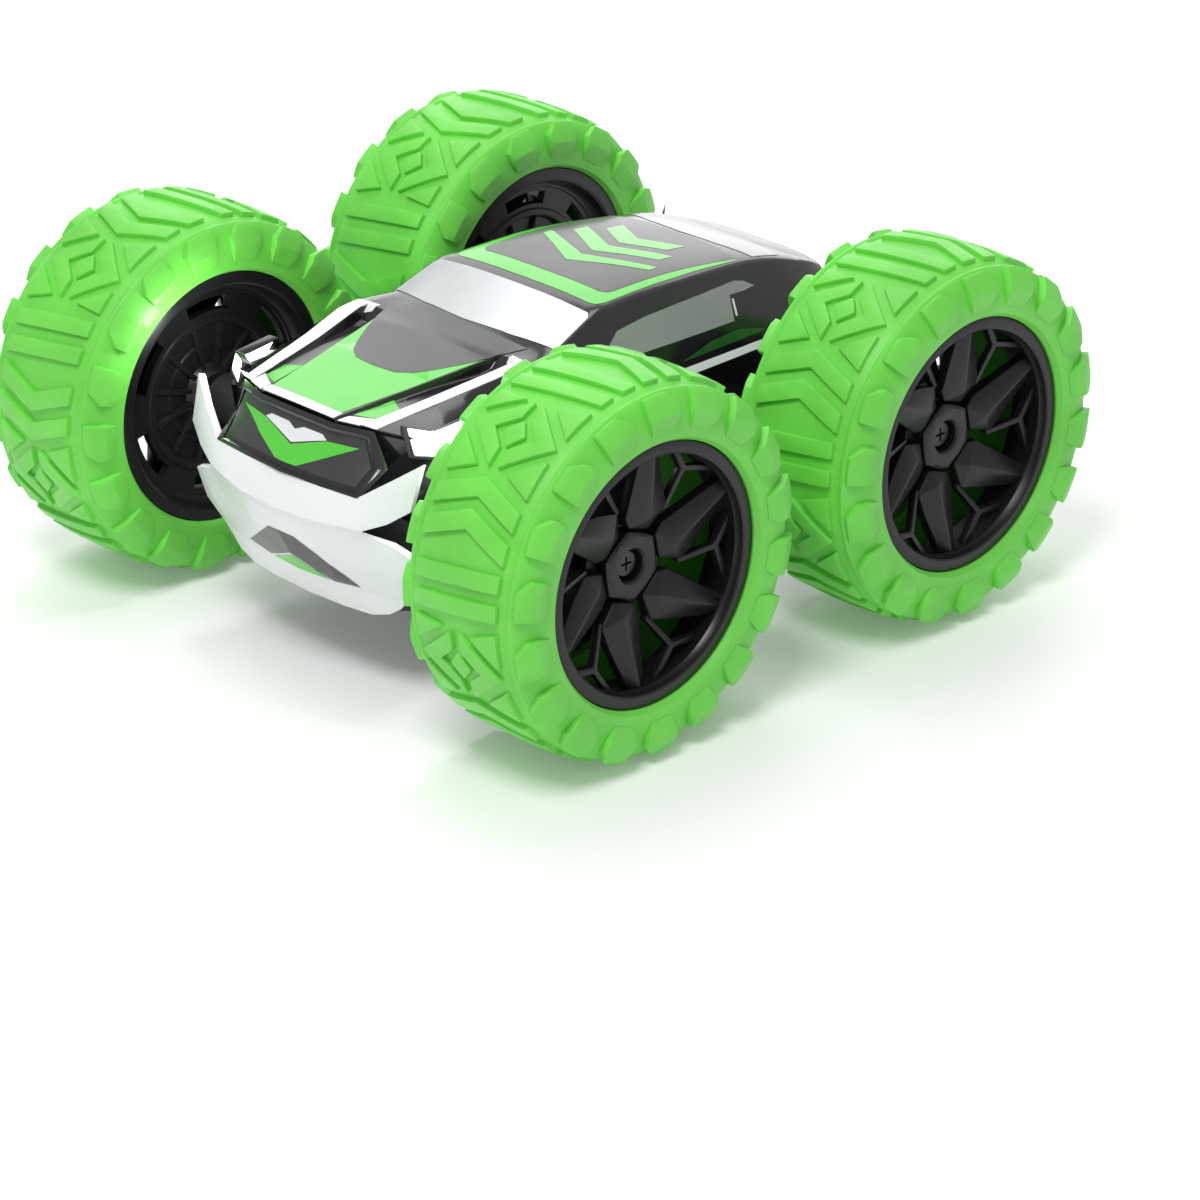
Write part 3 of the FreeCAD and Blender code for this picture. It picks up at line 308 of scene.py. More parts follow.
def repeat_group(name, own_input, arrange):
    """Node group that repeats a mesh on a row of points. arrange joins up the group's own input."""
    found = bpy.data.node_groups.get(name)
    if found:
        return found
    inputs = [("Geometry", "Geometry"), ("Count", "Int"), own_input, ("Material", "Material")]
    tree, given, result = new_group(name, "GeometryNodeTree", inputs, [("Geometry", "Geometry")])
    nodes, links = tree.nodes, tree.links
    line = nodes.new("GeometryNodeMeshLine")
    links.new(given.outputs["Count"], line.inputs["Count"])
    copies = nodes.new("GeometryNodeInstanceOnPoints")
    links.new(line.outputs["Mesh"], copies.inputs["Points"])
    links.new(given.outputs["Geometry"], copies.inputs["Instance"])
    arrange(tree, given, line, copies)
    real = nodes.new("GeometryNodeRealizeInstances")
    links.new(copies.outputs["Instances"], real.inputs["Geometry"])
    paint = nodes.new("GeometryNodeSetMaterial")
    links.new(real.outputs["Geometry"], paint.inputs["Geometry"])
    links.new(given.outputs["Material"], paint.inputs["Material"])
    links.new(paint.outputs["Geometry"], result.inputs["Geometry"])
    return tree


def turn_copies(tree, given, line, copies):
    """Spreads the copies evenly over a full turn about the X axis."""
    nodes, links = tree.nodes, tree.links
    line.inputs["Offset"].default_value = (0, 0, 0)
    index = nodes.new("GeometryNodeInputIndex")
    pitch = nodes.new("ShaderNodeMath")
    pitch.operation = "DIVIDE"
    pitch.inputs[0].default_value = math.tau
    links.new(given.outputs["Count"], pitch.inputs[1])
    angle = nodes.new("ShaderNodeMath")
    angle.operation = "MULTIPLY_ADD"
    links.new(index.outputs[0], angle.inputs[0])
    links.new(pitch.outputs[0], angle.inputs[1])
    links.new(given.outputs["Turn"], angle.inputs[2])
    turn = nodes.new("ShaderNodeCombineXYZ")
    links.new(angle.outputs[0], turn.inputs["X"])
    links.new(turn.outputs[0], copies.inputs["Rotation"])


def space_copies(tree, given, line, copies):
    """Puts a step between one copy and the next."""
    tree.links.new(given.outputs["Step"], line.inputs["Offset"])


def ring_tree():
    """Node group that repeats a mesh round the X axis."""
    return repeat_group("Repeat Round Axle", ("Turn", "Float"), turn_copies)


def row_tree():
    """Node group that repeats a mesh along a straight line."""
    return repeat_group("Repeat Along Line", ("Step", "Vector"), space_copies)


def repeat(thing, tree, **inputs):
    """Puts a repeating node group on an object, with its inputs set by name."""
    repeater = thing.modifiers.new("Repeat", "NODES")
    for item in tree.interface.items_tree:
        if item.in_out == "INPUT" and item.name in inputs:
            repeater[item.identifier] = inputs[item.name]
    repeater.node_group = tree
    for item in tree.interface.items_tree:
        if item.in_out == "INPUT" and item.name in inputs:
            repeater[item.identifier] = inputs[item.name]
    return thing


def wheel_centre(corner):
    """Where a wheel's axle crosses the middle of its tyre."""
    for joint in frame["joints"]:
        if joint["name"] == f"{corner}_wheel_spin":
            return Vector(joint["pos_m"])
    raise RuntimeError(f"the record has no wheel joint at {corner}")


def fit_to_wheels(pattern, stem):
    """Copies a wheel piece, made round the X axis with its outer face to +X, to the four corners."""
    bake(pattern)
    smooth(pattern.data)
    for corner, (side, _) in CORNERS.items():
        mesh = pattern.data.copy()
        turn = Matrix.Rotation(math.pi if side < 0 else 0.0, 4, "Z")
        mesh.transform(Matrix.Translation(wheel_centre(corner)) @ turn @ Matrix.Scale(MM, 4))
        thing = place_object(f"{stem}_{corner}_skin", mesh)
        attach(thing, f"wheel_{corner}")
        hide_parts(f"{stem}_{corner}")
    discard(pattern)


# ---- Materials ----


def surface_group():
    """Node group of the small marks that every moulded surface has, read from the object's own place."""
    found = bpy.data.node_groups.get("Surface Marks")
    if found:
        return found
    marks = [(name, "Float") for name in ("Clouds", "Grain", "Scuffs")]
    tree, given, result = new_group("Surface Marks", "ShaderNodeTree", [("Scale", "Float")], marks)
    nodes, links = tree.nodes, tree.links
    place = nodes.new("ShaderNodeTexCoord")
    sized = nodes.new("ShaderNodeVectorMath")
    sized.operation = "SCALE"
    links.new(place.outputs["Object"], sized.inputs[0])
    links.new(given.outputs["Scale"], sized.inputs["Scale"])

    def noise(scale, detail, rough, source):
        item = nodes.new("ShaderNodeTexNoise")
        item.inputs["Scale"].default_value = scale
        item.inputs["Detail"].default_value = detail
        item.inputs["Roughness"].default_value = rough
        links.new(source, item.inputs["Vector"])
        return item.outputs["Fac"]

    def span(source, low, high):
        item = nodes.new("ShaderNodeMapRange")
        item.inputs["From Min"].default_value = low
        item.inputs["From Max"].default_value = high
        links.new(source, item.inputs["Value"])
        return item.outputs["Result"]

    links.new(span(noise(45, 4, 0.55, sized.outputs[0]), 0.3, 0.7), result.inputs["Clouds"])
    links.new(noise(2600, 3, 0.6, sized.outputs[0]), result.inputs["Grain"])
    long = nodes.new("ShaderNodeMapping")
    long.inputs["Scale"].default_value = (1.0, 0.12, 0.5)
    long.inputs["Rotation"].default_value = (0.3, 0.2, 0.6)
    links.new(sized.outputs[0], long.inputs["Vector"])
    links.new(span(noise(900, 5, 0.7, long.outputs[0]), 0.6, 0.74), result.inputs["Scuffs"])
    return tree


def shade(
    name,
    colour,
    second,
    rough=0.35,
    spread=0.12,
    bump=0.02,
    scale=1.0,
    metallic=0.0,
    coat=0.0,
    scuff=0.5,
    shine=0.5,
):
    """A moulded or metal material: two tones in soft clouds, fine grain, faint scuffs and dust."""
    found = bpy.data.materials.get(name)
    if found:
        return found
    material = bpy.data.materials.new(name)
    material.use_nodes = True
    nodes, links = material.node_tree.nodes, material.node_tree.links
    shader = nodes["Principled BSDF"]
    shader.inputs["Metallic"].default_value = metallic
    shader.inputs["Coat Weight"].default_value = coat
    shader.inputs["Coat Roughness"].default_value = 0.12
    shader.inputs["Specular IOR Level"].default_value = shine
    marks = nodes.new("ShaderNodeGroup")
    marks.node_tree = surface_group()
    marks.inputs["Scale"].default_value = scale
    tone = nodes.new("ShaderNodeMix")
    tone.data_type = "RGBA"
    tone.inputs["A"].default_value = (*colour, 1)
    tone.inputs["B"].default_value = (*second, 1)
    links.new(marks.outputs["Clouds"], tone.inputs["Factor"])
    dust = nodes.new("ShaderNodeMix")
    dust.data_type = "RGBA"
    light = [min(1.0, c * 1.25 + 0.02) for c in second]
    dust.inputs["B"].default_value = (*light, 1)
    weight = nodes.new("ShaderNodeMath")
    weight.operation = "MULTIPLY"
    weight.inputs[1].default_value = 0.16 * scuff
    links.new(marks.outputs["Scuffs"], weight.inputs[0])
    links.new(weight.outputs[0], dust.inputs["Factor"])
    links.new(tone.outputs["Result"], dust.inputs["A"])
    links.new(dust.outputs["Result"], shader.inputs["Base Color"])
    level = nodes.new("ShaderNodeMapRange")
    level.inputs["To Min"].default_value = max(0.03, rough - spread / 2)
    level.inputs["To Max"].default_value = rough + spread / 2
    links.new(marks.outputs["Clouds"], level.inputs["Value"])
    worn = nodes.new("ShaderNodeMath")
    worn.operation = "MULTIPLY_ADD"
    worn.inputs[1].default_value = 0.18 * scuff
    links.new(marks.outputs["Scuffs"], worn.inputs[0])
    links.new(level.outputs["Result"], worn.inputs[2])
    links.new(worn.outputs[0], shader.inputs["Roughness"])
    if bump:
        relief = nodes.new("ShaderNodeBump")
        relief.inputs["Strength"].default_value = bump
        relief.inputs["Distance"].default_value = 0.0002
        links.new(marks.outputs["Grain"], relief.inputs["Height"])
        links.new(relief.outputs["Normal"], shader.inputs["Normal"])
    return material


def darker(colour, share=0.75):
    return tuple(c * share for c in colour)


def tyre_rubber():
    colour = tuple(settings().tyre_colour)
    second = darker(colour, 0.82)
    material = shade("Lime Tyre Rubber", colour, second, 0.44, 0.1, 0.12, 1.0, scuff=0.2, shine=0.45)
    shader = material.node_tree.nodes["Principled BSDF"]
    shader.inputs["Subsurface Weight"].default_value = 0.1
    shader.inputs["Subsurface Radius"].default_value = (0.4, 1.0, 0.3)
    shader.inputs["Subsurface Scale"].default_value = 0.003
    return material


def rim_plastic():
    tones = (0.007, 0.007, 0.0075), (0.011, 0.011, 0.012)
    return shade("Rim Plastic", *tones, 0.34, 0.12, 0.06, 1.3, scuff=0.4, shine=0.4)


def body_gloss():
    tones = (0.006, 0.006, 0.0065), (0.01, 0.01, 0.011)
    return shade("Body Gloss", *tones, 0.14, 0.05, 0.01, 1.0, coat=0.5, scuff=0.3)


def housing_plastic():
    return shade(
        "Housing Plastic", (0.014, 0.014, 0.015), (0.022, 0.022, 0.024), 0.42, 0.12, 0.1, 1.5, scuff=0.5
    )


def print_film(name, colour, rough=0.2):
    second = darker(colour, 0.9)
    return shade(name, colour, second, rough, 0.06, 0.015, 1.4, coat=0.3, scuff=0.15, shine=0.45)


def green_print():
    return print_film("Print Green", tuple(settings().print_green))


def grey_print():
    return print_film("Print Grey", tuple(settings().print_grey), 0.3)


def white_print():
    return print_film("Print White", (0.82, 0.84, 0.86), 0.24)


def bumper_plastic():
    colour = tuple(settings().bumper_white)
    return shade("Bumper White", colour, darker(colour, 0.95), 0.26, 0.08, 0.02, 1.0, scuff=0.3)


def screen_film():
    """Silver-white film of the windscreen, with a painted reflection: lighter in a slanting band."""
    tones = (0.46, 0.48, 0.49), (0.4, 0.42, 0.43)
    material = shade("Screen Film", *tones, 0.22, 0.06, 0.01, 1.2, coat=0.4, scuff=0.2)
    nodes, links = material.node_tree.nodes, material.node_tree.links
    if nodes.get("Painted Reflection Slant"):
        return material
    shader = nodes["Principled BSDF"]
    old = shader.inputs["Base Color"].links[0].from_socket
    # Painted reflection: the film's colour is mixed towards near-white along a slant across the windscreen.
    place = nodes.new("ShaderNodeTexCoord")
    slant = nodes.new("ShaderNodeVectorMath")
    slant.name = "Painted Reflection Slant"
    slant.operation = "DOT_PRODUCT"
    slant.inputs[1].default_value = (1.0, 0.35, 0.0)
    links.new(place.outputs["Object"], slant.inputs[0])
    band = nodes.new("ShaderNodeMapRange")
    band.interpolation_type = "SMOOTHSTEP"
    band.inputs["From Min"].default_value = -0.024
    band.inputs["From Max"].default_value = 0.014
    links.new(slant.outputs["Value"], band.inputs["Value"])
    mix = nodes.new("ShaderNodeMix")
    mix.data_type = "RGBA"
    mix.inputs["B"].default_value = (0.88, 0.9, 0.92, 1)
    links.new(band.outputs["Result"], mix.inputs["Factor"])
    links.new(old, mix.inputs["A"])
    links.new(mix.outputs["Result"], shader.inputs["Base Color"])
    return material


def lamp_lens():
    """Clear ribbed lens with the lamp's light in it."""
    tones = (0.85, 0.9, 0.95), (0.75, 0.82, 0.9)
    material = shade("Lamp Lens", *tones, 0.1, 0.04, 0.02, 1.0, coat=0.6, scuff=0.2)
    nodes, links = material.node_tree.nodes, material.node_tree.links
    if nodes.get("Ribs"):
        return material
    shader = nodes["Principled BSDF"]
    place = nodes.new("ShaderNodeTexCoord")
    ribs = nodes.new("ShaderNodeTexWave")
    ribs.name = "Ribs"
    ribs.bands_direction = "DIAGONAL"
    ribs.inputs["Scale"].default_value = 260
    links.new(place.outputs["Object"], ribs.inputs["Vector"])
    glow = nodes.new("ShaderNodeMapRange")
    glow.inputs["To Min"].default_value = 0.75
    glow.inputs["To Max"].default_value = 1.0
    links.new(ribs.outputs["Fac"], glow.inputs["Value"])
    tint = nodes.new("ShaderNodeMix")
    tint.data_type = "RGBA"
    tint.inputs["A"].default_value = (0.6, 0.75, 1.0, 1)
    tint.inputs["B"].default_value = (1.0, 1.0, 1.0, 1)
    links.new(glow.outputs["Result"], tint.inputs["Factor"])
    links.new(tint.outputs["Result"], shader.inputs["Emission Color"])
    shader.inputs["Emission Strength"].default_value = settings().lamp_glow
    return material


# ---- Wheels ----

# The tyre's section from its bead to the middle of its tread: radius, and distance from its middle.
SIDEWALL = [
    (30.6, 16.9),
    (31.4, 18.1),
    (32.8, 18.5),
    (35.0, 18.5),
    (37.0, 18.2),
    (38.8, 17.7),
    (40.2, 17.0),
    (41.2, 16.3),
    (41.8, 15.8),
]
# The tread from its middle out: distance from the middle, and radius.
TREAD = [
    (0.0, 42.85),
    (5.0, 42.8),
    (10.0, 42.6),
    (12.8, 42.3),
    (13.8, 41.7),
    (14.2, 41.6),
    (14.8, 42.1),
    (15.4, 42.1),
]
# The radius at which the tread's lengths are measured.
RUN = 43.0
LATHE_STEPS = 120


def half_sections():
    """The tyre's outer section from one bead to the other."""
    half = [(x, r) for r, x in SIDEWALL] + [(x, r) for x, r in reversed(TREAD)]
    return half + [(-x, r) for x, r in reversed(half[:-1])]


def mirrored(points):
    """An outline on the other side of the middle."""
    return [(-u, v) for u, v in reversed(points)]


def tread_outlines():
    """One repeat of the tread, as flat outlines: across the tread, and along it."""
    middle = [
        # nested arrow bars
        [(-12.4, 0.4), (0.0, 5.0), (12.4, 0.4), (12.4, 4.8), (0.0, 9.4), (-12.4, 4.8)],
        [(-12.4, 7.6), (0.0, 12.2), (12.4, 7.6), (12.4, 12.0), (0.0, 16.6), (-12.4, 12.0)],
        # a diamond
        [(0.0, 23.9), (3.2, 27.5), (0.0, 31.1), (-3.2, 27.5)],
        # two slanting bars
        [(-12.4, 38.8), (12.4, 41.8), (12.4, 45.6), (-12.4, 42.6)],
        [(-12.4, 45.4), (12.4, 48.4), (12.4, 52.2), (-12.4, 49.2)],
        # the corner block over the diamond's low side
        [(-4.2, 36.2), (-12.4, 36.6), (-12.4, 30.6)],
    ]
    sided = [
        # angled bars round the diamond
        [(1.3, 19.0), (12.2, 27.5), (1.3, 36.0), (1.3, 31.4), (6.0, 27.5), (1.3, 23.6)],
        # corner blocks
        [(4.4, 18.4), (12.4, 15.0), (12.4, 24.4)],
    ]
    high = [(4.6, 36.4), (12.4, 30.6), (12.4, 39.0)]
    return middle + [high] + sided + [mirrored(points) for points in sided]


def make_tyre(material):
    """A tyre: carcass, a ring of shoulder lugs on each side, and the raised tread."""
    inside = [(11.7, 30.6), (11.7, 32.5), (14.3, 34.6), (13.5, 38.4), (9.0, 40.4)]
    inside += [(-x, r) for x, r in reversed(inside)]
    section = half_sections() + list(reversed(inside))
    carcass = new_piece("tyre_carcass", lathe(section, LATHE_STEPS), material)
    lug_rise = settings().lug_height / MM
    lug = bmesh.new()
    outline = [(-3.4, 33.6), (3.0, 33.6), (4.2, 36.4), (4.3, 39.4), (1.6, 41.7), (-4.1, 41.7), (-4.3, 37.2)]
    plate(outline, lug_rise, 0.7, 0.4, 2.2, 1.4, lug)

    def on_side(u, v, h):
        fade = min(1.0, max(0.12, (v - 33.2) / 4.6))
        rise = h * fade if h > 0 else h
        lean = max(0.0, v - 38.5) / 3.0
        turn = u / 38.0
        radius = v + rise * 0.42 * min(1.0, lean)
        out = between(SIDEWALL, v) + rise * (1 - 0.25 * min(1.0, lean))
        return out, radius * math.sin(turn), radius * math.cos(turn)

    bend(lug, on_side)
    other = lug.copy()
    bend(other, lambda x, y, z: (-x, y, z))
    lugs = []
    for name, shape, turn in (("outer", lug, 0.0), ("inner", other, math.pi / settings().lug_count)):
        ring = new_piece(f"lugs_{name}", shape, material)
        repeat(ring, ring_tree(), Count=settings().lug_count, Turn=turn, Material=material)
        lugs.append(ring)
    rise = settings().plate_height / MM
    tread = bmesh.new()
    for outline in tread_outlines():
        plate(outline, rise, 0.6, 0.42, 4.2, 2.6, tread)

    def on_tread(u, v, h):
        radius = between(TREAD, abs(u)) + h
        turn = v / RUN
        return u, radius * math.sin(turn), radius * math.cos(turn)

    bend(tread, on_tread)
    pattern = new_piece("tread", tread, material)
    repeat(pattern, ring_tree(), Count=settings().tread_count, Turn=0.0, Material=material)
    return merge("tyre_pattern", [carcass, *lugs, pattern])


def make_outer_rim(material):
    """The face of a wheel: lip, barrel, hub plate, rising kite-shaped spokes and forked ribs between them."""
    lip = [
        (5.6, 28.0),
        (5.6, 28.5),
        (11.0, 30.2),
        (15.9, 30.5),
        (16.5, 30.3),
        (16.7, 29.8),
        (16.7, 27.9),
        (16.4, 27.5),
        (15.2, 27.25),
        (14.6, 26.9),
        (13.9, 26.9),
        (13.6, 27.5),
        (9.0, 27.8),
    ]
    barrel = new_piece("rim_barrel", lathe(lip, LATHE_STEPS), material)
    hub = [
        (4.7, 1.5),
        (6.0, 1.5),
        (6.0, 3.6),
        (9.2, 3.7),
        (9.7, 4.2),
        (9.8, 5.0),
        (9.8, 6.9),
        (9.4, 7.6),
        (6.9, 8.0),
        (6.6, 8.4),
        (6.6, 11.2),
        (5.2, 11.8),
        (4.7, 6.4),
    ]
    shape = lathe(hub, 96)
    for vert in shape.verts:
        radius = math.hypot(vert.co.y, vert.co.z)
        if 4.5 < radius < 8.3:
            turn = math.atan2(vert.co.y, vert.co.z) + math.radians(8)
            sector = math.pi / 3
            off = (turn % sector) - sector / 2
            grow = 1 + 0.11 * (radius - 4.5) / 3.5 * (1 / math.cos(off) / 1.09 - 0.94) * 8
            vert.co.y *= grow
            vert.co.z *= grow
    centre = new_piece("rim_hub", shape, material)
    blade = bmesh.new()
    rim_top = 27.9
    corners = {
        "a": (9.4, -0.7, 8.9),
        "b": (9.6, -2.0, 11.6),
        "c": (13.0, -0.6, rim_top),
        "d": (13.0, 4.2, rim_top),
        "e": (11.0, 8.2, 17.0),
        "f": (10.3, 9.7, 11.6),
        "g": (9.3, 5.2, 7.1),
        "top": (11.3, 4.0, 10.6),
        "tip": (14.5, 1.9, rim_top),
    }
    low = {"a": 6.4, "b": 6.6, "c": 10.5, "d": 10.5, "e": 8.2, "f": 7.2, "g": 6.4}
    spot = {key: blade.verts.new(place) for key, place in corners.items()}
    base = {key: blade.verts.new((depth, *corners[key][1:])) for key, depth in low.items()}
    for names in ("a b c tip top", "top tip d e", "top e f", "top f g", "top g a"):
        blade.faces.new([spot[name] for name in names.split()])
    order = ["a", "b", "c", "d", "e", "f", "g"]
    for here, there in zip(order, order[1:] + order[:1]):
        rim_edge = [spot[here], spot[there], base[there], base[here]]
        if (here, there) == ("c", "d"):
            rim_edge.insert(1, spot["tip"])
        blade.faces.new(rim_edge)
    blade.faces.new([base[name] for name in order])
    spoke = new_piece("rim_spokes", blade, material)
    round_edges(spoke, 0.35, 2, 12)
    repeat(spoke, ring_tree(), Count=settings().spoke_count, Turn=0.0, Material=material)
    fork = bmesh.new()
    outline = [
        (9.0, 10.6),
        (10.2, 10.4),
        (13.9, 18.9),
        (21.6, 16.9),
        (22.2, 18.4),
        (13.9, 20.3),
        (9.9, 27.0),
        (8.6, 26.4),
        (12.7, 19.7),
    ]
    plate(outline, 2.1, -0.1, 0.28, 0, 0, fork)
    bend(fork, lambda u, v, h: (h + 6.6 + (math.hypot(u, v) - 9.2) * 0.223, u, v))
    ribs = new_piece("rim_ribs", fork, material)
    repeat(ribs, ring_tree(), Count=settings().spoke_count, Turn=0.0, Material=material)
    return merge("outer_rim_pattern", [barrel, centre, spoke, ribs])


SLOT_COUNT = 6
INNER_RIB_COUNT = 12


def make_inner_rim(material):
    """The dished back of a wheel, with rings, six slots and short ribs."""
    dish = [
        (4.6, 2.1),
        (4.6, 5.3),
        (-9.0, 5.4),
        (-9.0, 17.4),
        (-10.4, 18.6),
        (-10.4, 26.4),
        (-13.5, 30.4),
        (-15.6, 30.5),
        (-16.7, 30.3),
        (-16.8, 29.6),
        (-16.8, 27.8),
        (-16.4, 27.2),
        (-15.4, 27.0),
        (-13.6, 26.1),
        (-13.0, 25.4),
        (-13.0, 24.9),
        (-12.6, 24.6),
        (-12.6, 19.3),
        (-13.0, 19.0),
        (-13.0, 17.6),
        (-12.4, 17.0),
        (-11.2, 16.6),
        (-11.2, 12.6),
        (-11.7, 12.3),
        (-11.7, 11.2),
        (-11.2, 10.9),
        (-11.2, 6.9),
        (-11.8, 6.3),
        (-13.6, 5.5),
        (-14.0, 5.1),
        (-14.0, 2.1),
    ]
    back = new_piece("inner_dish", lathe(dish, LATHE_STEPS), material)
    cutters = bmesh.new()
    for k in range(SLOT_COUNT):
        rows = []
        for i in range(9):
            turn = math.tau * k / SLOT_COUNT + math.radians(-17 + 34 * i / 8)
            rows.append(
                [
                    cutters.verts.new((x, r * math.sin(turn), r * math.cos(turn)))
                    for x, r in ((-14.5, 20.4), (-14.5, 23.6), (-8.5, 23.6), (-8.5, 20.4))
                ]
            )
        for here, there in zip(rows, rows[1:]):
            for i in range(4):
                j = (i + 1) % 4
                cutters.faces.new((here[i], here[j], there[j], there[i]))
        cutters.faces.new(list(reversed(rows[0])))
        cutters.faces.new(rows[-1])
    slots = new_piece("slot_cutters", cutters, material)
    hole = back.modifiers.new("Slots", "BOOLEAN")
    hole.operation = "DIFFERENCE"
    hole.solver = "EXACT"
    hole.object = slots
    bake(back)
    discard(slots)
    rib = bmesh.new()
    plate([(-0.6, 6.0), (0.6, 6.0), (0.6, 16.9), (-0.6, 16.9)], 12.3, -10.9, 0.25, 0, 0, rib)
    bend(rib, lambda u, v, h: (-h, u, v))
    ribs = new_piece("inner_ribs", rib, material)
    repeat(ribs, ring_tree(), Count=INNER_RIB_COUNT, Turn=math.pi / INNER_RIB_COUNT, Material=material)
    return merge("inner_rim_pattern", [back, ribs])


# ---- Body ----

# Half sections of the upper body in millimetres: place along Y, (x, z) points from the middle out, and how
# far each point is moved along Y.
STRAIGHT = [0] * 10
SECTIONS = [
    (
        -72.0,
        [(0, 65.3), (12.1, 65.2), (12.4, 64.4), (12.7, 64.9), (18.2, 64.7), (18.6, 64.9)]
        + [(22.1, 64.4), (31.5, 62.8), (35.8, 56.5), (33.4, 44)],
        [-3.4, -3.3, -3.2, -3.1, -1.2, -1.0, 0.3, 6.0, 7.5, 8.0],
    ),
    (
        -62.0,
        [(0, 66.7), (13.6, 66.4), (14.0, 65.3), (14.4, 65.2), (19.6, 65.1), (20.0, 66.0)]
        + [(23.7, 65.9), (32.0, 63.2), (36.0, 56.4), (33.8, 44)],
        [-1.2, -1.2, -1.0, -1.0, -0.4, -0.3, 0.2, 2.5, 3.0, 3.0],
    ),
    (
        -50.0,
        [(0, 68.3), (15.8, 67.8), (16.2, 66.4), (16.6, 66.2), (21.4, 66.2), (21.8, 67.5)]
        + [(25.8, 67.6), (32.2, 63.8), (36.1, 56.3), (34.0, 44)],
        STRAIGHT,
    ),
    (
        -37.5,
        [(0, 69.7), (18.0, 69.3), (18.4, 66.8), (18.8, 66.5), (23.8, 66.5), (24.2, 69.5)]
        + [(28.5, 69.8), (32.2, 64.4), (36.1, 56.3), (34.0, 44)],
        STRAIGHT,
    ),
    (
        -34.5,
        [(0, 70.1), (18.6, 69.7), (19.0, 67.4), (19.4, 67.2), (24.2, 67.3), (24.7, 70.0)]
        + [(28.7, 70.1), (32.1, 64.6), (36.0, 56.3), (34.0, 44)],
        STRAIGHT,
    ),
    (
        -31.5,
        [(0, 70.4), (19.2, 70.1), (19.6, 70.05), (20.0, 70.05), (24.8, 70.2), (25.3, 70.3)]
        + [(28.6, 70.2), (31.9, 64.8), (36.0, 56.3), (34.0, 44)],
        STRAIGHT,
    ),
    (
        -22.0,
        [(0, 71.4), (12.0, 71.3), (18.5, 71.0), (21.5, 70.8), (24.2, 70.5), (26.0, 70.2)]
        + [(27.5, 69.7), (31.2, 65.2), (35.8, 56.3), (34.0, 44)],
        [-3.6, -2.9, -1.7, -1.0, -0.5, -0.2, 0, 0, 0, 0],
    ),
    (
        -8.0,
        [(0, 76.3), (10.0, 76.25), (16.0, 76.1), (20.0, 75.9), (22.8, 75.75), (24.6, 75.6)]
        + [(26.0, 75.2), (29.6, 67.0), (35.0, 56.3), (34.0, 44)],
        [-0.9, -0.8, -0.5, -0.2, 0, 0, 0, 0, 0, 0],
    ),
    (
        -3.0,
        [(0, 76.9), (10.0, 76.85), (16.0, 76.6), (20.0, 76.3), (22.6, 76.0), (24.3, 75.7)]
        + [(25.6, 75.2), (29.3, 66.8), (34.8, 56.2), (34.0, 44)],
        STRAIGHT,
    ),
    (
        20.0,
        [(0, 77.0), (10.0, 76.9), (16.0, 76.65), (20.0, 76.3), (22.3, 75.9), (23.8, 75.5)]
        + [(25.0, 75.0), (29.0, 66.1), (34.6, 56.1), (34.0, 44)],
        STRAIGHT,
    ),
    (
        46.0,
        [(0, 74.3), (9.0, 74.25), (14.0, 74.0), (17.8, 73.6), (20.0, 73.2), (21.4, 72.8)]
        + [(22.6, 72.2), (28.4, 64.3), (34.2, 56), (34.0, 44)],
        STRAIGHT,
    ),
    (
        60.0,
        [(0, 71.0), (8.6, 70.95), (13.6, 70.75), (17.4, 70.4), (19.7, 70.1), (21.1, 69.8)]
        + [(22.3, 69.3), (28.0, 62.6), (34.0, 55.8), (33.4, 44)],
        STRAIGHT,
    ),
    (
        72.0,
        [(0, 66.4), (8.4, 66.35), (13.0, 66.2), (16.8, 65.9), (19.0, 65.6), (20.4, 65.3)]
        + [(21.6, 64.8), (27.0, 59.8), (33.0, 54.6), (31.5, 44)],
        [0.4, 0.4, 0.3, 0.2, 0, 0, 0, -0.6, -1.4, -2.4],
    ),
]


def section_points(row):
    y, half, moved = row
    right = [Vector((x, y + dy, z)) for (x, z), dy in zip(half, moved)]
    return [Vector((-p.x, p.y, p.z)) for p in reversed(right[1:])] + right


def eased(sections, k, share):
    """A section part of the way from one to the next, eased by its neighbours."""
    rows = [sections[max(0, k - 1)], sections[k], sections[k + 1], sections[min(len(sections) - 1, k + 2)]]
    made = []
    for before, here, there, after in zip(*rows):
        leave = (there - before) * 0.5
        reach = (after - here) * 0.5
        t = share
        point = (
            here * (2 * t**3 - 3 * t**2 + 1)
            + leave * (t**3 - 2 * t**2 + t)
            + there * (3 * t**2 - 2 * t**3)
            + reach * (t**3 - t**2)
        )
        made.append(point)
    return made


def body_skin():
    """The upper body's outer skin, open underneath."""
    rows = [section_points(row) for row in SECTIONS]
    smooth_spans = {1: 2, 8: 4, 9: 4, 10: 3, 11: 3}
    full = []
    for k, row in enumerate(rows[:-1]):
        full.append(row)
        for i in range(1, smooth_spans.get(k, 0)):
            full.append(eased(rows, k, i / smooth_spans[k]))
    full.append(rows[-1])
    shape = bmesh.new()
    grid = [[shape.verts.new(p) for p in row] for row in full]
    for here, there in zip(grid, grid[1:]):
        for i in range(len(here) - 1):
            shape.faces.new((here[i], here[i + 1], there[i + 1], there[i]))
    for row, ahead in ((grid[0], 1), (grid[-1], -1)):
        lip = [shape.verts.new(v.co + Vector((0, 0.9 * ahead, -1.3))) for v in row[1:-1]]
        foot = []
        for v in row[1:-1]:
            inset = 2.6 if ahead > 0 else -0.4
            foot.append(shape.verts.new((v.co.x, v.co.y + inset * ahead, 44)))
        sides = [row[1:-1], lip, foot]
        for high, low in zip(sides, sides[1:]):
            for i in range(len(high) - 1):
                shape.faces.new((high[i], high[i + 1], low[i + 1], low[i]))
        for end, edge in ((0, 0), (-1, -1)):
            shape.faces.new((row[edge], sides[0][end], lip[end], foot[end]))
    return shape


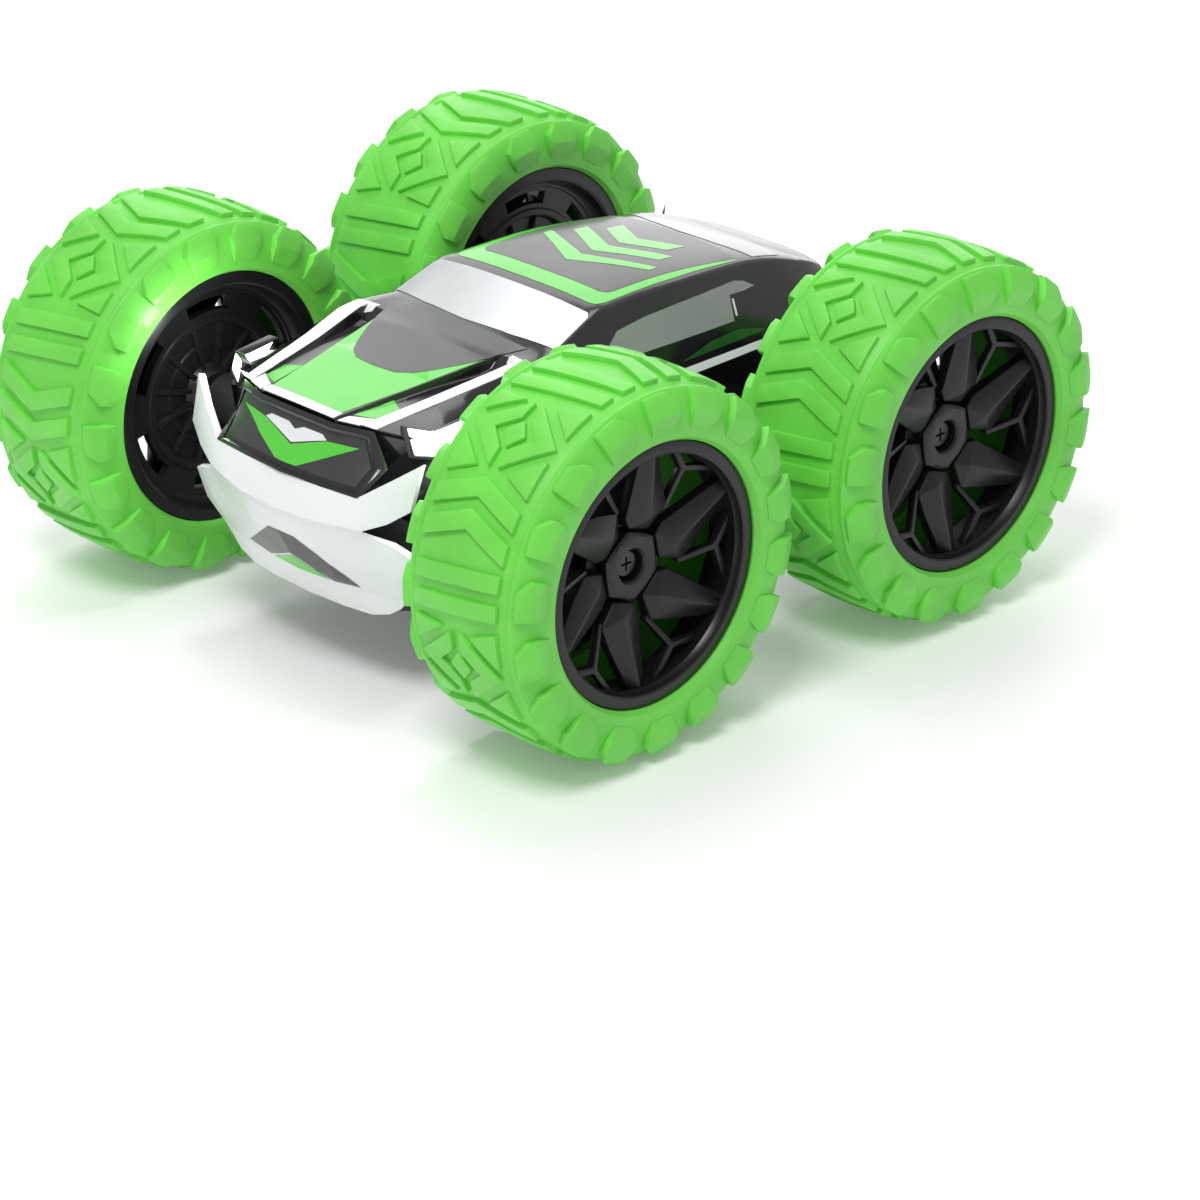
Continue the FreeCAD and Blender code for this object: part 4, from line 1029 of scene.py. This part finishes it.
def make_shell():
    """The body skin with its rounded edges, still without its wall."""
    skin = new_piece("upper_shell_skin", body_skin(), body_gloss())
    flip_outwards(skin)
    round_edges(skin, 0.45, 2, 24)
    return split_faces(bake(skin))


def flip_outwards(thing):
    """Turns a skin's faces so that those on top look up."""
    shape = bmesh.new()
    shape.from_mesh(thing.data)
    up = sum(face.normal.z * face.calc_area() for face in shape.faces)
    if up < 0:
        bmesh.ops.reverse_faces(shape, faces=shape.faces)
    shape.to_mesh(thing.data)
    shape.free()


VIEWS = {
    "top": (Vector((1, 0, 0)), Vector((0, 1, 0)), Vector((0, 0, 1))),
    "side": (Vector((0, 1, 0)), Vector((0, 0, 1)), Vector((1, 0, 0))),
    "front": (Vector((1, 0, 0)), Vector((0, 0, 1)), Vector((0, -1, 0))),
    "back": (Vector((1, 0, 0)), Vector((0, 0, 1)), Vector((0, 1, 0))),
}


FILM = 0.06


def cut_patch(mesh, outline, view, facing, near=None):
    """The part of a skin inside a convex outline, seen from one side and at least near from the middle."""
    across, up, out = VIEWS[view]
    shape = bmesh.new()
    shape.from_mesh(mesh)
    middle = Vector((sum(u for u, _ in outline), sum(v for _, v in outline))) / len(outline)
    bmesh.ops.delete(shape, geom=[f for f in shape.faces if f.normal.dot(out) < facing], context="FACES")
    for (u0, v0), (u1, v1) in zip(outline, outline[1:] + outline[:1]):
        edge = Vector((u1 - u0, v1 - v0))
        normal = Vector((edge.y, -edge.x))
        if normal.dot(middle - Vector((u0, v0))) > 0:
            normal = -normal
        everything = shape.verts[:] + shape.edges[:] + shape.faces[:]
        bmesh.ops.bisect_plane(
            shape,
            geom=everything,
            plane_co=across * u0 + up * v0,
            plane_no=(across * normal.x + up * normal.y).normalized(),
            clear_outer=True,
            dist=0.001,
        )
    if near is not None:
        far = [f for f in shape.faces if f.calc_center_median().dot(out) < near]
        bmesh.ops.delete(shape, geom=far, context="FACES")
    return shape


def lifted_patches(mesh, outlines, view, lift, facing, near=None):
    """The parts of a skin inside convex outlines, lifted off it."""
    shape = bmesh.new()
    for points in outlines:
        part = cut_patch(mesh, points, view, facing, near)
        part.normal_update()
        for vert in part.verts:
            vert.co += vert.normal * lift
        pour(part, shape)
    return shape


def lay_film(name, shape, material):
    """Makes a film of lifted patches and ties it to the body."""
    thing = mesh_object(name, shape, material)
    thicken(thing, FILM, 1.0)
    return finish_piece(thing, "chassis")


def sticker(name, mesh, outlines, view, lift, material, facing=0.3, both=False):
    """A film laid on the skin: every outline is convex, and both mirrors them across the car."""
    if both:
        outlines = outlines + [[(-u, v) for u, v in points] for points in outlines]
    shape = lifted_patches(mesh, outlines, view, lift, facing)
    if not shape.faces:
        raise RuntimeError(f"the sticker {name} misses the body")
    bmesh.ops.remove_doubles(shape, verts=shape.verts, dist=0.01)
    return lay_film(name, shape, material)


def side_sticker(name, mesh, outlines, lift, material, facing=0.2):
    """A film on each flank: outlines are (y, z) on the left side, laid on both."""
    across = Matrix.Scale(-1, 4, (1, 0, 0))
    for label, side in SIDES.items():
        other = mesh.copy()
        if side < 0:
            other.transform(across)
            other.flip_normals()
        shape = lifted_patches(other, outlines, "side", lift, facing, 15.0)
        bpy.data.meshes.remove(other)
        if side < 0:
            bmesh.ops.transform(shape, matrix=across, verts=shape.verts)
            bmesh.ops.reverse_faces(shape, faces=shape.faces)
        lay_film(f"{name}_{label}", shape, material)


def lay_stickers(skin):
    """All the printed films of the body."""
    green, grey, white = green_print(), grey_print(), white_print()
    mesh = skin.data
    field = [(-11.9, -72.4), (11.9, -72.4), (15.6, -50.0), (18.7, -33.0), (-18.7, -33.0), (-15.6, -50.0)]
    sticker("hood_field", mesh, [field], "top", 0.04, green, 0.6)
    nib = [(6.5, -52.0), (9.8, -49.8), (12.6, -46.0), (16.0, -40.0)]
    nib += [(18.9, -33.6), (21.6, -27.0), (22.1, -25.7)]
    bullet = [(0.0, -52.8), *nib, *mirrored(nib)]
    sticker("hood_bullet", mesh, [bullet], "top", 0.11, grey, 0.6)
    bars = [[(-11.9, -76.5), (11.9, -76.5), (11.9, -72.5), (-11.9, -72.5)]]
    sticker("hood_bar", mesh, bars, "top", 0.06, white, 0.6)
    stripes = [
        [(12.9, -76.5), (20.7, -73.4), (22.0, -71.7), (19.0, -68.2), (12.9, -71.9)],
        [(18.7, -70.8), (22.0, -71.8), (23.6, -62.0), (20.1, -62.0)],
        [(20.1, -62.0), (23.6, -62.0), (25.7, -50.0), (21.9, -50.0)],
        [(21.9, -50.0), (25.7, -50.0), (28.4, -37.5), (24.3, -37.5)],
        [(24.3, -37.5), (28.4, -37.5), (28.5, -31.2), (25.0, -33.4)],
        [(25.0, -33.5), (28.5, -31.2), (22.0, -30.2), (22.5, -32.5)],
    ]
    sticker("hood_stripes", mesh, stripes, "top", 0.06, white, 0.6, both=True)
    patches = [[(13.3, -70.6), (18.3, -68.4), (19.4, -62.0), (14.5, -59.5)]]
    sticker("channel_patches", mesh, patches, "top", 0.04, green, 0.7, both=True)
    brow = [(26.6, -21.3), (25.5, -10.0), (24.4, -8.9)]
    screen = [(0.0, -24.9), (14.0, -23.8), *brow, *mirrored(brow), (-14.0, -23.8)]
    sticker("windscreen", mesh, [screen], "top", 0.06, screen_film(), 0.6)
    edge = [(21.6, -5.6), (23.0, -4.8), (23.6, -2.5), (23.2, 20.0), (21.2, 43.0)]
    roof = [*edge, *mirrored(edge)]
    sticker("roof_border", mesh, [roof], "top", 0.04, green, 0.6)
    edge = [(18.6, 0.2), (20.3, 1.2), (20.8, 3.0), (20.9, 20.0), (20.6, 43.3), (10.0, 44.6)]
    field = [*edge, *mirrored(edge)]
    sticker("roof_field", mesh, [field], "top", 0.11, grey, 0.6)
    arrows = [
        [(0.0, 8.0), (17.6, 17.6), (17.6, 20.4), (0.0, 13.0)],
        [(0.0, 16.5), (14.2, 24.4), (14.2, 29.0), (0.0, 22.0)],
        [(0.0, 25.5), (10.2, 31.2), (10.2, 37.0), (0.0, 31.6)],
    ]
    sticker("roof_arrows", mesh, arrows, "top", 0.18, green, 0.6, both=True)
    edge = [(11.0, 46.6), (20.6, 49.2), (20.4, 58.4)]
    band = [(0.0, 45.9), *edge, *mirrored(edge)]
    rear_pane = print_film("Rear Screen Film", (0.42, 0.43, 0.44), 0.2)
    sticker("rear_screen", mesh, [band], "top", 0.06, rear_pane, 0.5)
    side_pane = print_film("Side Screen Film", (0.3, 0.3, 0.31), 0.18)
    lower = [(-9.0, 64.6), (4.0, 64.0), (33.5, 63.2), (35.2, 68.3), (35.5, 70.7)]
    windows = [
        [*lower, (17.5, 71.1), (6.5, 71.0), (-3.0, 70.2), (-7.5, 67.6)],
        [(35.2, 68.3), (40.5, 68.0), (44.5, 68.0), (41.5, 69.75), (38.5, 70.5), (35.5, 70.7)],
    ]
    side_sticker("side_window", mesh, windows, 0.06, side_pane)
    # The glint is a painted highlight: a thin slanting strip of white print on the pillar between the side
    # windows, laid with the real white sill line.
    painted_glint = [(34.6, 64.0), (35.2, 64.0), (36.1, 67.4), (35.5, 67.4)]
    sill = [(12.0, 56.4), (43.5, 56.4), (43.0, 57.8), (12.5, 58.1)]
    side_sticker("sill_line_and_painted_glint", mesh, [sill, painted_glint], 0.06, white)
    arc = [[(13.0, 59.4), (24.0, 61.2), (34.0, 61.4), (42.0, 59.6), (41.0, 59.3)]]
    side_sticker("sill_arc", mesh, arc, 0.06, print_film("Print Dark Green", (0.012, 0.09, 0.015), 0.2))


# ---- Nose and tail ----


def mirror_grid(columns):
    """Columns from the middle out, mirrored to the other side."""
    return [[(-x, y, z) for x, y, z in column] for column in reversed(columns[1:])] + columns


def skin_grid(shape, columns, skip=()):
    """Faces between neighbouring columns of points. A span in skip, by its outer column, is left open."""
    count = len(columns)
    middle = count // 2
    grid = [[shape.verts.new(point) for point in column] for column in columns]
    for k in range(count - 1):
        outer = max(abs(k - middle), abs(k + 1 - middle))
        for i in range(len(grid[k]) - 1):
            if (outer, i) in skip:
                continue
            shape.faces.new((grid[k][i], grid[k + 1][i], grid[k + 1][i + 1], grid[k][i + 1]))
    return grid


BUMPER = [
    [(0, -80.4, 50.3), (0, -83.8, 42.9), (0, -82.7, 42.2), (0, -82.0, 36.4)]
    + [(0, -77.4, 27.6), (0, -76.6, 26.6), (0, -73.4, 18.6)],
    [(12, -80.1, 50.4), (12, -83.0, 42.8), (12, -81.9, 42.1), (12, -79.9, 35.0)]
    + [(12, -76.0, 26.8), (12, -75.2, 25.8), (12, -73.0, 18.8)],
    [(23.4, -79.2, 50.7), (25, -79.7, 43.3), (25, -78.6, 42.6), (24, -76.6, 34.0)]
    + [(22, -73.8, 26.0), (21.6, -73.2, 25.0), (20, -72.4, 19.2)],
    [(31, -76.0, 56.0), (31.4, -77.7, 46.4), (31.4, -76.2, 40.6), (30.5, -74.8, 33.0)]
    + [(28, -72.6, 26.0), (27.4, -72.2, 25.2), (25.3, -71.9, 20.8)],
    [(37.6, -72.4, 60.8), (36.8, -75.4, 50.4), (36.4, -75.0, 38.8), (35, -73.4, 31.4)]
    + [(32.4, -71.8, 27.0), (31.8, -71.6, 26.4), (28.6, -71.4, 23.0)],
]


def face_along_y(mesh, facing):
    """Turns a mesh's faces so that they look along +Y (facing 1) or -Y (facing -1)."""
    if sum(face.normal.y * face.area for face in mesh.polygons) * facing < 0:
        mesh.flip_normals()


def make_bumper(name, facing, material):
    """A thin wrap-round moulding with a crease, a prong and a lower tier. facing is -1 for the nose."""
    columns = BUMPER
    if facing > 0:
        columns = [
            [(x, 72.0 + (-y - 71.0) * 0.62, z if z < 50 else 50 + (z - 50) * 0.5) for x, y, z in column]
            for column in BUMPER
        ]
    shape = bmesh.new()
    skin_grid(shape, mirror_grid(columns), skip={(3, 1), (4, 1)})
    skin = new_piece(name, shape, material)
    face_along_y(skin.data, facing)
    round_edges(skin, 0.5, 2, 14)
    split_faces(bake(skin))
    film = skin.data.copy()
    thicken(skin, 1.7)
    bake(skin)
    round_edges(skin, 0.3, 2, 40)
    return skin, film


def make_bumpers():
    material = bumper_plastic()
    grey, green = grey_print(), green_print()
    for name, facing in (("nose_bumper", -1), ("tail_bumper", 1)):
        skin, film = make_bumper(f"{name}_skin", facing, material)
        view = "front" if facing < 0 else "back"
        finish_piece(skin, "chassis", [name])
        chevron = [[(0.0, 36.6), (4.5, 36.0), (18.8, 26.2), (10.5, 25.4), (0.0, 30.0)]]
        centre = [[(0.0, 29.4), (9.4, 25.3), (0.0, 25.3)]]
        sticker(f"{name}_chevron", film, chevron, view, 0.05, grey, 0.1, both=True)
        sticker(f"{name}_centre", film, centre, view, 0.05, green, 0.1, both=True)
        bpy.data.meshes.remove(film)


GRILLE = [
    [(0, -74.8, 62.5), (0, -77.3, 56.8), (0, -80.0, 51.0)],
    [(10, -74.5, 62.5), (10, -76.9, 56.8), (10, -79.7, 51.0)],
    [(18, -73.3, 62.4), (18, -75.6, 56.4), (18, -78.9, 51.1)],
    [(20.8, -72.6, 62.2), (23.0, -73.6, 56.0), (22.2, -78.0, 51.3)],
]
# The grille's frame, one row of points from its outer edge to its inner one, each from the middle out.
MOUTH = [
    [(0, -75.5, 64.2), (12, -75.2, 64.1), (21.8, -72.0, 63.9)]
    + [(25.3, -71.4, 55.8), (24.0, -79.0, 50.8), (0, -80.6, 50.3)],
    [(0, -76.3, 63.2), (12, -76.0, 63.1), (21.4, -72.9, 62.9)]
    + [(24.7, -72.4, 55.9), (23.4, -79.4, 50.9), (0, -81.0, 50.5)],
    [(0, -76.1, 62.5), (12, -75.8, 62.4), (20.7, -73.2, 62.2)]
    + [(23.2, -73.6, 56.0), (22.3, -78.9, 51.3), (0, -80.5, 51.1)],
    [(0, -74.7, 62.4), (12, -74.2, 62.3), (20.6, -72.2, 62.1)]
    + [(23.1, -73.0, 56.0), (22.2, -77.9, 51.4), (0, -79.8, 51.2)],
]


def make_grille():
    """The slanting panel in the mouth, its raised frame and its print."""
    tones = (0.008, 0.008, 0.009), (0.014, 0.014, 0.015)
    gloss = shade("Grille Gloss", *tones, 0.16, 0.06, 0.01, 1.2, coat=0.4, scuff=0.3)
    shape = bmesh.new()
    skin_grid(shape, mirror_grid(GRILLE))
    panel = new_piece("grille_panel_skin", shape, gloss)
    face_along_y(panel.data, -1)
    split_faces(panel)
    film = panel.data.copy()
    thicken(panel, 1.0)
    frame_shape = bmesh.new()
    for side in (1, -1):
        loops = [[frame_shape.verts.new((side * x, y, z)) for x, y, z in row] for row in MOUTH]
        for here, there in zip(loops, loops[1:]):
            for i in range(len(here) - 1):
                frame_shape.faces.new((here[i], here[i + 1], there[i + 1], there[i]))
    surround = new_piece("grille_surround", frame_shape, gloss)
    face_along_y(surround.data, -1)
    thicken(surround, 0.7)
    bake(surround)
    round_edges(surround, 0.25, 2, 30)
    finish_piece(panel, "chassis", ["grille_panel"])
    finish_piece(surround, "chassis")
    green, white, grey = green_print(), white_print(), grey_print()
    field = [[(-21.4, 52.2), (21.4, 52.2), (22.4, 56.0), (20.0, 61.8), (-20.0, 61.8), (-22.4, 56.0)]]
    sticker("grille_field", film, field, "front", 0.04, grey, 0.1)
    arms = [[(0.0, 52.3), (3.5, 52.4), (19.2, 59.7), (10.2, 59.3), (0.0, 56.2)]]
    sticker("grille_arrow", film, arms, "front", 0.1, green, 0.1, both=True)
    tips = [[(0.0, 56.6), (10.2, 59.5), (8.5, 60.4), (2.5, 60.4), (0.0, 59.4)]]
    sticker("grille_tip", film, tips, "front", 0.1, white, 0.1, both=True)
    bpy.data.meshes.remove(film)


# A headlight's corners on the fender: the front facet, then the two rear corners of its flank facet.
LAMP = [
    (26.6, -67.9, 65.4),
    (32.8, -64.8, 65.2),
    (36.0, -63.6, 59.2),
    (28.8, -67.6, 58.8),
    (33.4, -54.6, 66.0),
    (36.9, -55.2, 60.0),
]
LAMP_OUT = Vector((0.72, -0.62, 0.3))


def lamp_shell(share, rise):
    """The lamp's two facets, shrunk about their middle and moved out."""
    points = [Vector(point) for point in LAMP]
    middle = sum(points, Vector()) / len(points)
    return [middle + (point - middle) * share + LAMP_OUT.normalized() * rise for point in points]


def make_lamps():
    """Each headlight: a bezel that wraps the fender's corner and a bright lens."""
    facets = ((0, 1, 2, 3), (1, 4, 5, 2))
    border = (0, 1, 4, 5, 2, 3)
    for label, side in SIDES.items():
        for name, steps, material, slot in (
            ("lamp_bezel", ((1.08, -2.0), (1.08, 0.5), (0.9, 0.7), (0.86, -0.4)), body_gloss(), "body_black"),
            ("headlight_lens", ((0.88, -1.6), (0.88, 0.5), (0.76, 1.0)), lamp_lens(), "lens_clear"),
        ):
            shape = bmesh.new()
            loops = []
            for step in steps:
                loops.append([shape.verts.new((side * p.x, p.y, p.z)) for p in lamp_shell(*step)])
            for here, there in zip(loops, loops[1:]):
                for i, j in zip(border, border[1:] + border[:1]):
                    shape.faces.new((here[i], here[j], there[j], there[i]))
            for loop in (loops[0], loops[-1]):
                for facet in facets:
                    shape.faces.new([loop[i] for i in facet])
            piece = new_piece(f"{name}_{label}", shape, material)
            round_edges(piece, 0.3, 2, 20)
            finish_piece(piece, "chassis", ["headlight_lenses"] if slot == "lens_clear" else [])
        dome = [(-2.4, 0.1), (-2.4, 2.0), (-1.8, 2.0), (-1.8, 1.6), (0.0, 1.5), (0.9, 1.0), (1.3, 0.1)]
        diode = new_piece(f"headlight_diode_{label}", lathe(dome, 32), lamp_lens())
        middle = lamp_shell(0.0, -1.4)[0]
        ahead = Vector((side * LAMP_OUT.x, LAMP_OUT.y, LAMP_OUT.z))
        aim = ahead.to_track_quat("X", "Z").to_matrix().to_4x4()
        diode.data.transform(Matrix.Translation((side * middle.x, middle.y, middle.z)) @ aim)
        finish_piece(diode, "chassis", ["headlight_leds"])


def make_vents(material):
    """Louvres across the tail face."""
    louvre = bmesh.new()
    plate([(-15.0, 0.0), (15.0, 0.0), (14.4, 1.3), (-14.4, 1.3)], 0.7, 0.5, 0.3, 0, 0, louvre)
    bend(louvre, lambda u, v, h: (u, 72.5 + h, 54.0 + v))
    louvres = new_piece("tail_louvres", louvre, material)
    repeat(louvres, row_tree(), Count=4, Step=(0.0, 0.0, 2.4), Material=material)
    finish_piece(louvres, "chassis")


# ---- Lower body and small parts ----


def make_collars():
    """A ribbed collar where each axle tube leaves the body."""
    profile = [(33.2, 6.1), (33.2, 9.6), (35.0, 9.6), (35.4, 9.2)]
    profile += [(35.4, 8.2), (36.6, 7.9), (37.0, 7.5), (37.0, 6.1)]
    for corner, (side, _) in CORNERS.items():
        low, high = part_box(f"axle_{corner}")
        middle = (low + high) / 2
        collar = new_piece(f"axle_collar_{corner}", lathe(profile, 72), housing_plastic())
        place = Matrix.Translation((0, middle.y / MM, middle.z / MM))
        if side < 0:
            place = place @ Matrix.Rotation(math.pi, 4, "Z")
        collar.data.transform(place)
        round_edges(collar, 0.2, 2, 30)
        finish_piece(collar, "chassis")


def soft_copy(node, body, material, width):
    """A copy of a plain engineering piece with its edges rounded."""
    source = frame["nodes"][node].data
    shape = bmesh.new()
    shape.from_mesh(source)
    bmesh.ops.scale(shape, vec=(1 / MM, 1 / MM, 1 / MM), verts=shape.verts)
    bmesh.ops.remove_doubles(shape, verts=shape.verts, dist=0.002)
    bmesh.ops.dissolve_limit(shape, angle_limit=math.radians(1.5), verts=shape.verts, edges=shape.edges)
    thing = mesh_object(f"{node}_skin", shape, material)
    round_edges(thing, width, 2, 30)
    return finish_piece(thing, body, [node])


def finishes():
    """The material of each slot in the record."""

    def metal(name, colour, second, rough, spread, bump, scale, metallic=1.0):
        return shade(name, colour, second, rough, spread, bump, scale, metallic=metallic)

    return {
        "tyre_green": tyre_rubber(),
        "rim_black": rim_plastic(),
        "axle_steel": metal("Axle Steel", (0.55, 0.55, 0.57), (0.45, 0.45, 0.47), 0.28, 0.12, 0.05, 2.0),
        "screw_steel": metal(
            "Screw Steel", (0.05, 0.05, 0.055), (0.08, 0.08, 0.085), 0.36, 0.14, 0.06, 2.0, 0.7
        ),
        "gear_nylon": shade("Gear Nylon", (0.8, 0.78, 0.7), (0.72, 0.69, 0.6), 0.4, 0.1, 0.05, 1.6),
        "motor_can": metal("Motor Can", (0.6, 0.61, 0.63), (0.5, 0.51, 0.53), 0.26, 0.1, 0.06, 1.8),
        "rotor_metal": metal("Rotor Copper", (0.6, 0.28, 0.12), (0.5, 0.42, 0.2), 0.32, 0.12, 0.08, 2.0),
        "case_plastic": housing_plastic(),
        "bush_brass": metal("Bush Brass", (0.7, 0.5, 0.2), (0.58, 0.4, 0.16), 0.3, 0.1, 0.04, 2.0),
        "body_black": body_gloss(),
        "lens_clear": lamp_lens(),
        "bumper_white": bumper_plastic(),
        "grille_black": body_gloss(),
        "led_white": lamp_lens(),
        "board_green": shade("Board Mask", (0.01, 0.14, 0.05), (0.015, 0.2, 0.07), 0.34, 0.1, 0.05, 3.0),
        "battery_wrap": shade(
            "Battery Wrap", (0.02, 0.1, 0.42), (0.015, 0.07, 0.32), 0.24, 0.08, 0.05, 1.5, coat=0.3
        ),
        "door_black": shade(
            "Lower Plastic", (0.012, 0.012, 0.013), (0.02, 0.02, 0.021), 0.46, 0.14, 0.14, 1.2, scuff=0.7
        ),
        "switch_black": housing_plastic(),
        "knob_white": shade("Knob White", (0.7, 0.71, 0.7), (0.62, 0.62, 0.6), 0.38, 0.1, 0.06, 2.0),
        "wire_red": shade("Wire Sleeve", (0.42, 0.012, 0.008), (0.34, 0.01, 0.008), 0.36, 0.1, 0.05, 2.0),
    }


def paint_engineering_pieces():
    """Gives every engineering piece the material of its slot."""
    table = finishes()
    slots = {row["node"]: row["material_slot"] for row in frame["record"]["subparts"]}
    for name, thing in frame["nodes"].items():
        material = table[slots[name]]
        if not thing.material_slots:
            thing.data.materials.append(material)
        for place in thing.material_slots:
            place.material = material


# ---- Stage ----


def make_stage():
    """A pale floor, soft lamps and the camera."""
    scene = bpy.context.scene
    scene.view_settings.view_transform = "Standard"
    mesh = bpy.data.meshes.new("floor")
    mesh.from_pydata([(-8, -8, 0), (8, -8, 0), (8, 8, 0), (-8, 8, 0)], [], [(0, 1, 2, 3)])
    ground = shade("Studio Floor", (0.88, 0.88, 0.88), (0.86, 0.86, 0.86), 0.6, 0.1, 0.0, 0.02, scuff=0.0)
    shader = ground.node_tree.nodes["Principled BSDF"]
    shader.inputs["Emission Color"].default_value = (1, 1, 1, 1)
    shader.inputs["Emission Strength"].default_value = 0.12
    mesh.materials.append(ground)
    place_object("floor", mesh)
    world = bpy.data.worlds.new("Studio")
    world.use_nodes = True
    sky = world.node_tree.nodes["Background"]
    sky.inputs["Color"].default_value = (1, 1, 1, 1)
    sky.inputs["Strength"].default_value = 0.5
    scene.world = world
    for name, place, size, power in (
        ("key", (0.25, -0.5, 0.95), 0.35, 6.0),
        ("top", (-0.3, 0.2, 1.0), 0.6, 3.0),
        ("back", (-0.8, 0.85, 0.5), 1.0, 4.5),
    ):
        lamp = bpy.data.lights.new(name, "AREA")
        lamp.size = size
        lamp.energy = power
        thing = place_object(name, lamp)
        thing.location = place
        thing.rotation_euler = Vector(place).to_track_quat("Z", "Y").to_euler()
    for label, side in SIDES.items():
        lamp = bpy.data.lights.new(f"headlight {label}", "POINT")
        lamp.shadow_soft_size = 0.003
        lamp.energy = 0.02
        thing = place_object(f"headlight {label}", lamp)
        thing.location = (side * 0.0395, -0.0665, 0.0665)
    camera = bpy.data.cameras.new("camera")
    camera.lens = 135.8
    camera.sensor_width = 36.0
    camera.clip_start = 0.05
    camera.clip_end = 50
    thing = place_object("camera", camera)
    turn, rise = math.radians(45.3), math.radians(24.9)
    back = Vector((math.sin(turn) * math.cos(rise), -math.cos(turn) * math.cos(rise), math.sin(rise)))
    target, distance = Vector((0.0231, -0.0037, 0.0014)), 1.062
    thing.location = target + back * distance
    thing.rotation_euler = back.to_track_quat("Z", "Y").to_euler()
    scene.camera = thing


# ---- Operators, panel and registration ----


class CAR_OT_wheels(bpy.types.Operator):
    """Build the tyres and rims of all four wheels"""

    bl_idname = "stunt_car.wheels"
    bl_label = "Wheels"

    def execute(self, context):
        fit_to_wheels(make_tyre(tyre_rubber()), "tyre")
        fit_to_wheels(make_outer_rim(rim_plastic()), "outer_rim")
        fit_to_wheels(make_inner_rim(rim_plastic()), "inner_rim")
        return {"FINISHED"}


class CAR_OT_shell(bpy.types.Operator):
    """Build the upper body shell and lay its stickers"""

    bl_idname = "stunt_car.shell"
    bl_label = "Body shell"

    def execute(self, context):
        skin = make_shell()
        lay_stickers(skin)
        thicken(skin, settings().shell_wall / MM)
        finish_piece(skin, "chassis", ["upper_shell"])
        return {"FINISHED"}


class CAR_OT_ends(bpy.types.Operator):
    """Build the bumpers, grille, headlights and tail louvres"""

    bl_idname = "stunt_car.ends"
    bl_label = "Nose and tail"

    def execute(self, context):
        make_bumpers()
        make_grille()
        make_lamps()
        make_vents(finishes()["case_plastic"])
        return {"FINISHED"}


class CAR_OT_lower(bpy.types.Operator):
    """Build the lower body, the axle collars and the battery door"""

    bl_idname = "stunt_car.lower"
    bl_label = "Lower body"

    def execute(self, context):
        table = finishes()
        make_collars()
        soft_copy("lower_shell", "chassis", table["door_black"], 0.35)
        soft_copy("battery_door", "battery_door", table["door_black"], 0.2)
        return {"FINISHED"}


class CAR_OT_paint(bpy.types.Operator):
    """Give the engineering pieces their materials"""

    bl_idname = "stunt_car.paint"
    bl_label = "Inner pieces"

    def execute(self, context):
        paint_engineering_pieces()
        return {"FINISHED"}


class CAR_OT_stage(bpy.types.Operator):
    """Build the floor, lamps and camera"""

    bl_idname = "stunt_car.stage"
    bl_label = "Stage"

    def execute(self, context):
        make_stage()
        return {"FINISHED"}


OPERATORS = (CAR_OT_paint, CAR_OT_wheels, CAR_OT_shell, CAR_OT_ends, CAR_OT_lower, CAR_OT_stage)


class CAR_PT_panel(bpy.types.Panel):
    """Lists the pieces that can be built"""

    bl_idname = "CAR_PT_panel"
    bl_label = "Stunt Car"
    bl_space_type = "VIEW_3D"
    bl_region_type = "UI"
    bl_category = "Stunt Car"

    def draw(self, context):
        for operator in OPERATORS:
            self.layout.operator(operator.bl_idname)
        for name in CarSettings.__annotations__:
            self.layout.prop(context.scene.stunt_car, name)


def register():
    bpy.utils.register_class(CarSettings)
    for item in (*OPERATORS, CAR_PT_panel):
        bpy.utils.register_class(item)
    bpy.types.Scene.stunt_car = bpy.props.PointerProperty(type=CarSettings)


def unregister():
    del bpy.types.Scene.stunt_car
    for item in (CAR_PT_panel, *reversed(OPERATORS)):
        bpy.utils.unregister_class(item)
    bpy.utils.unregister_class(CarSettings)


def main():
    register()
    for operator in OPERATORS:
        group, name = operator.bl_idname.split(".")
        getattr(getattr(bpy.ops, group), name)()


if __name__ == "__main__":
    main()
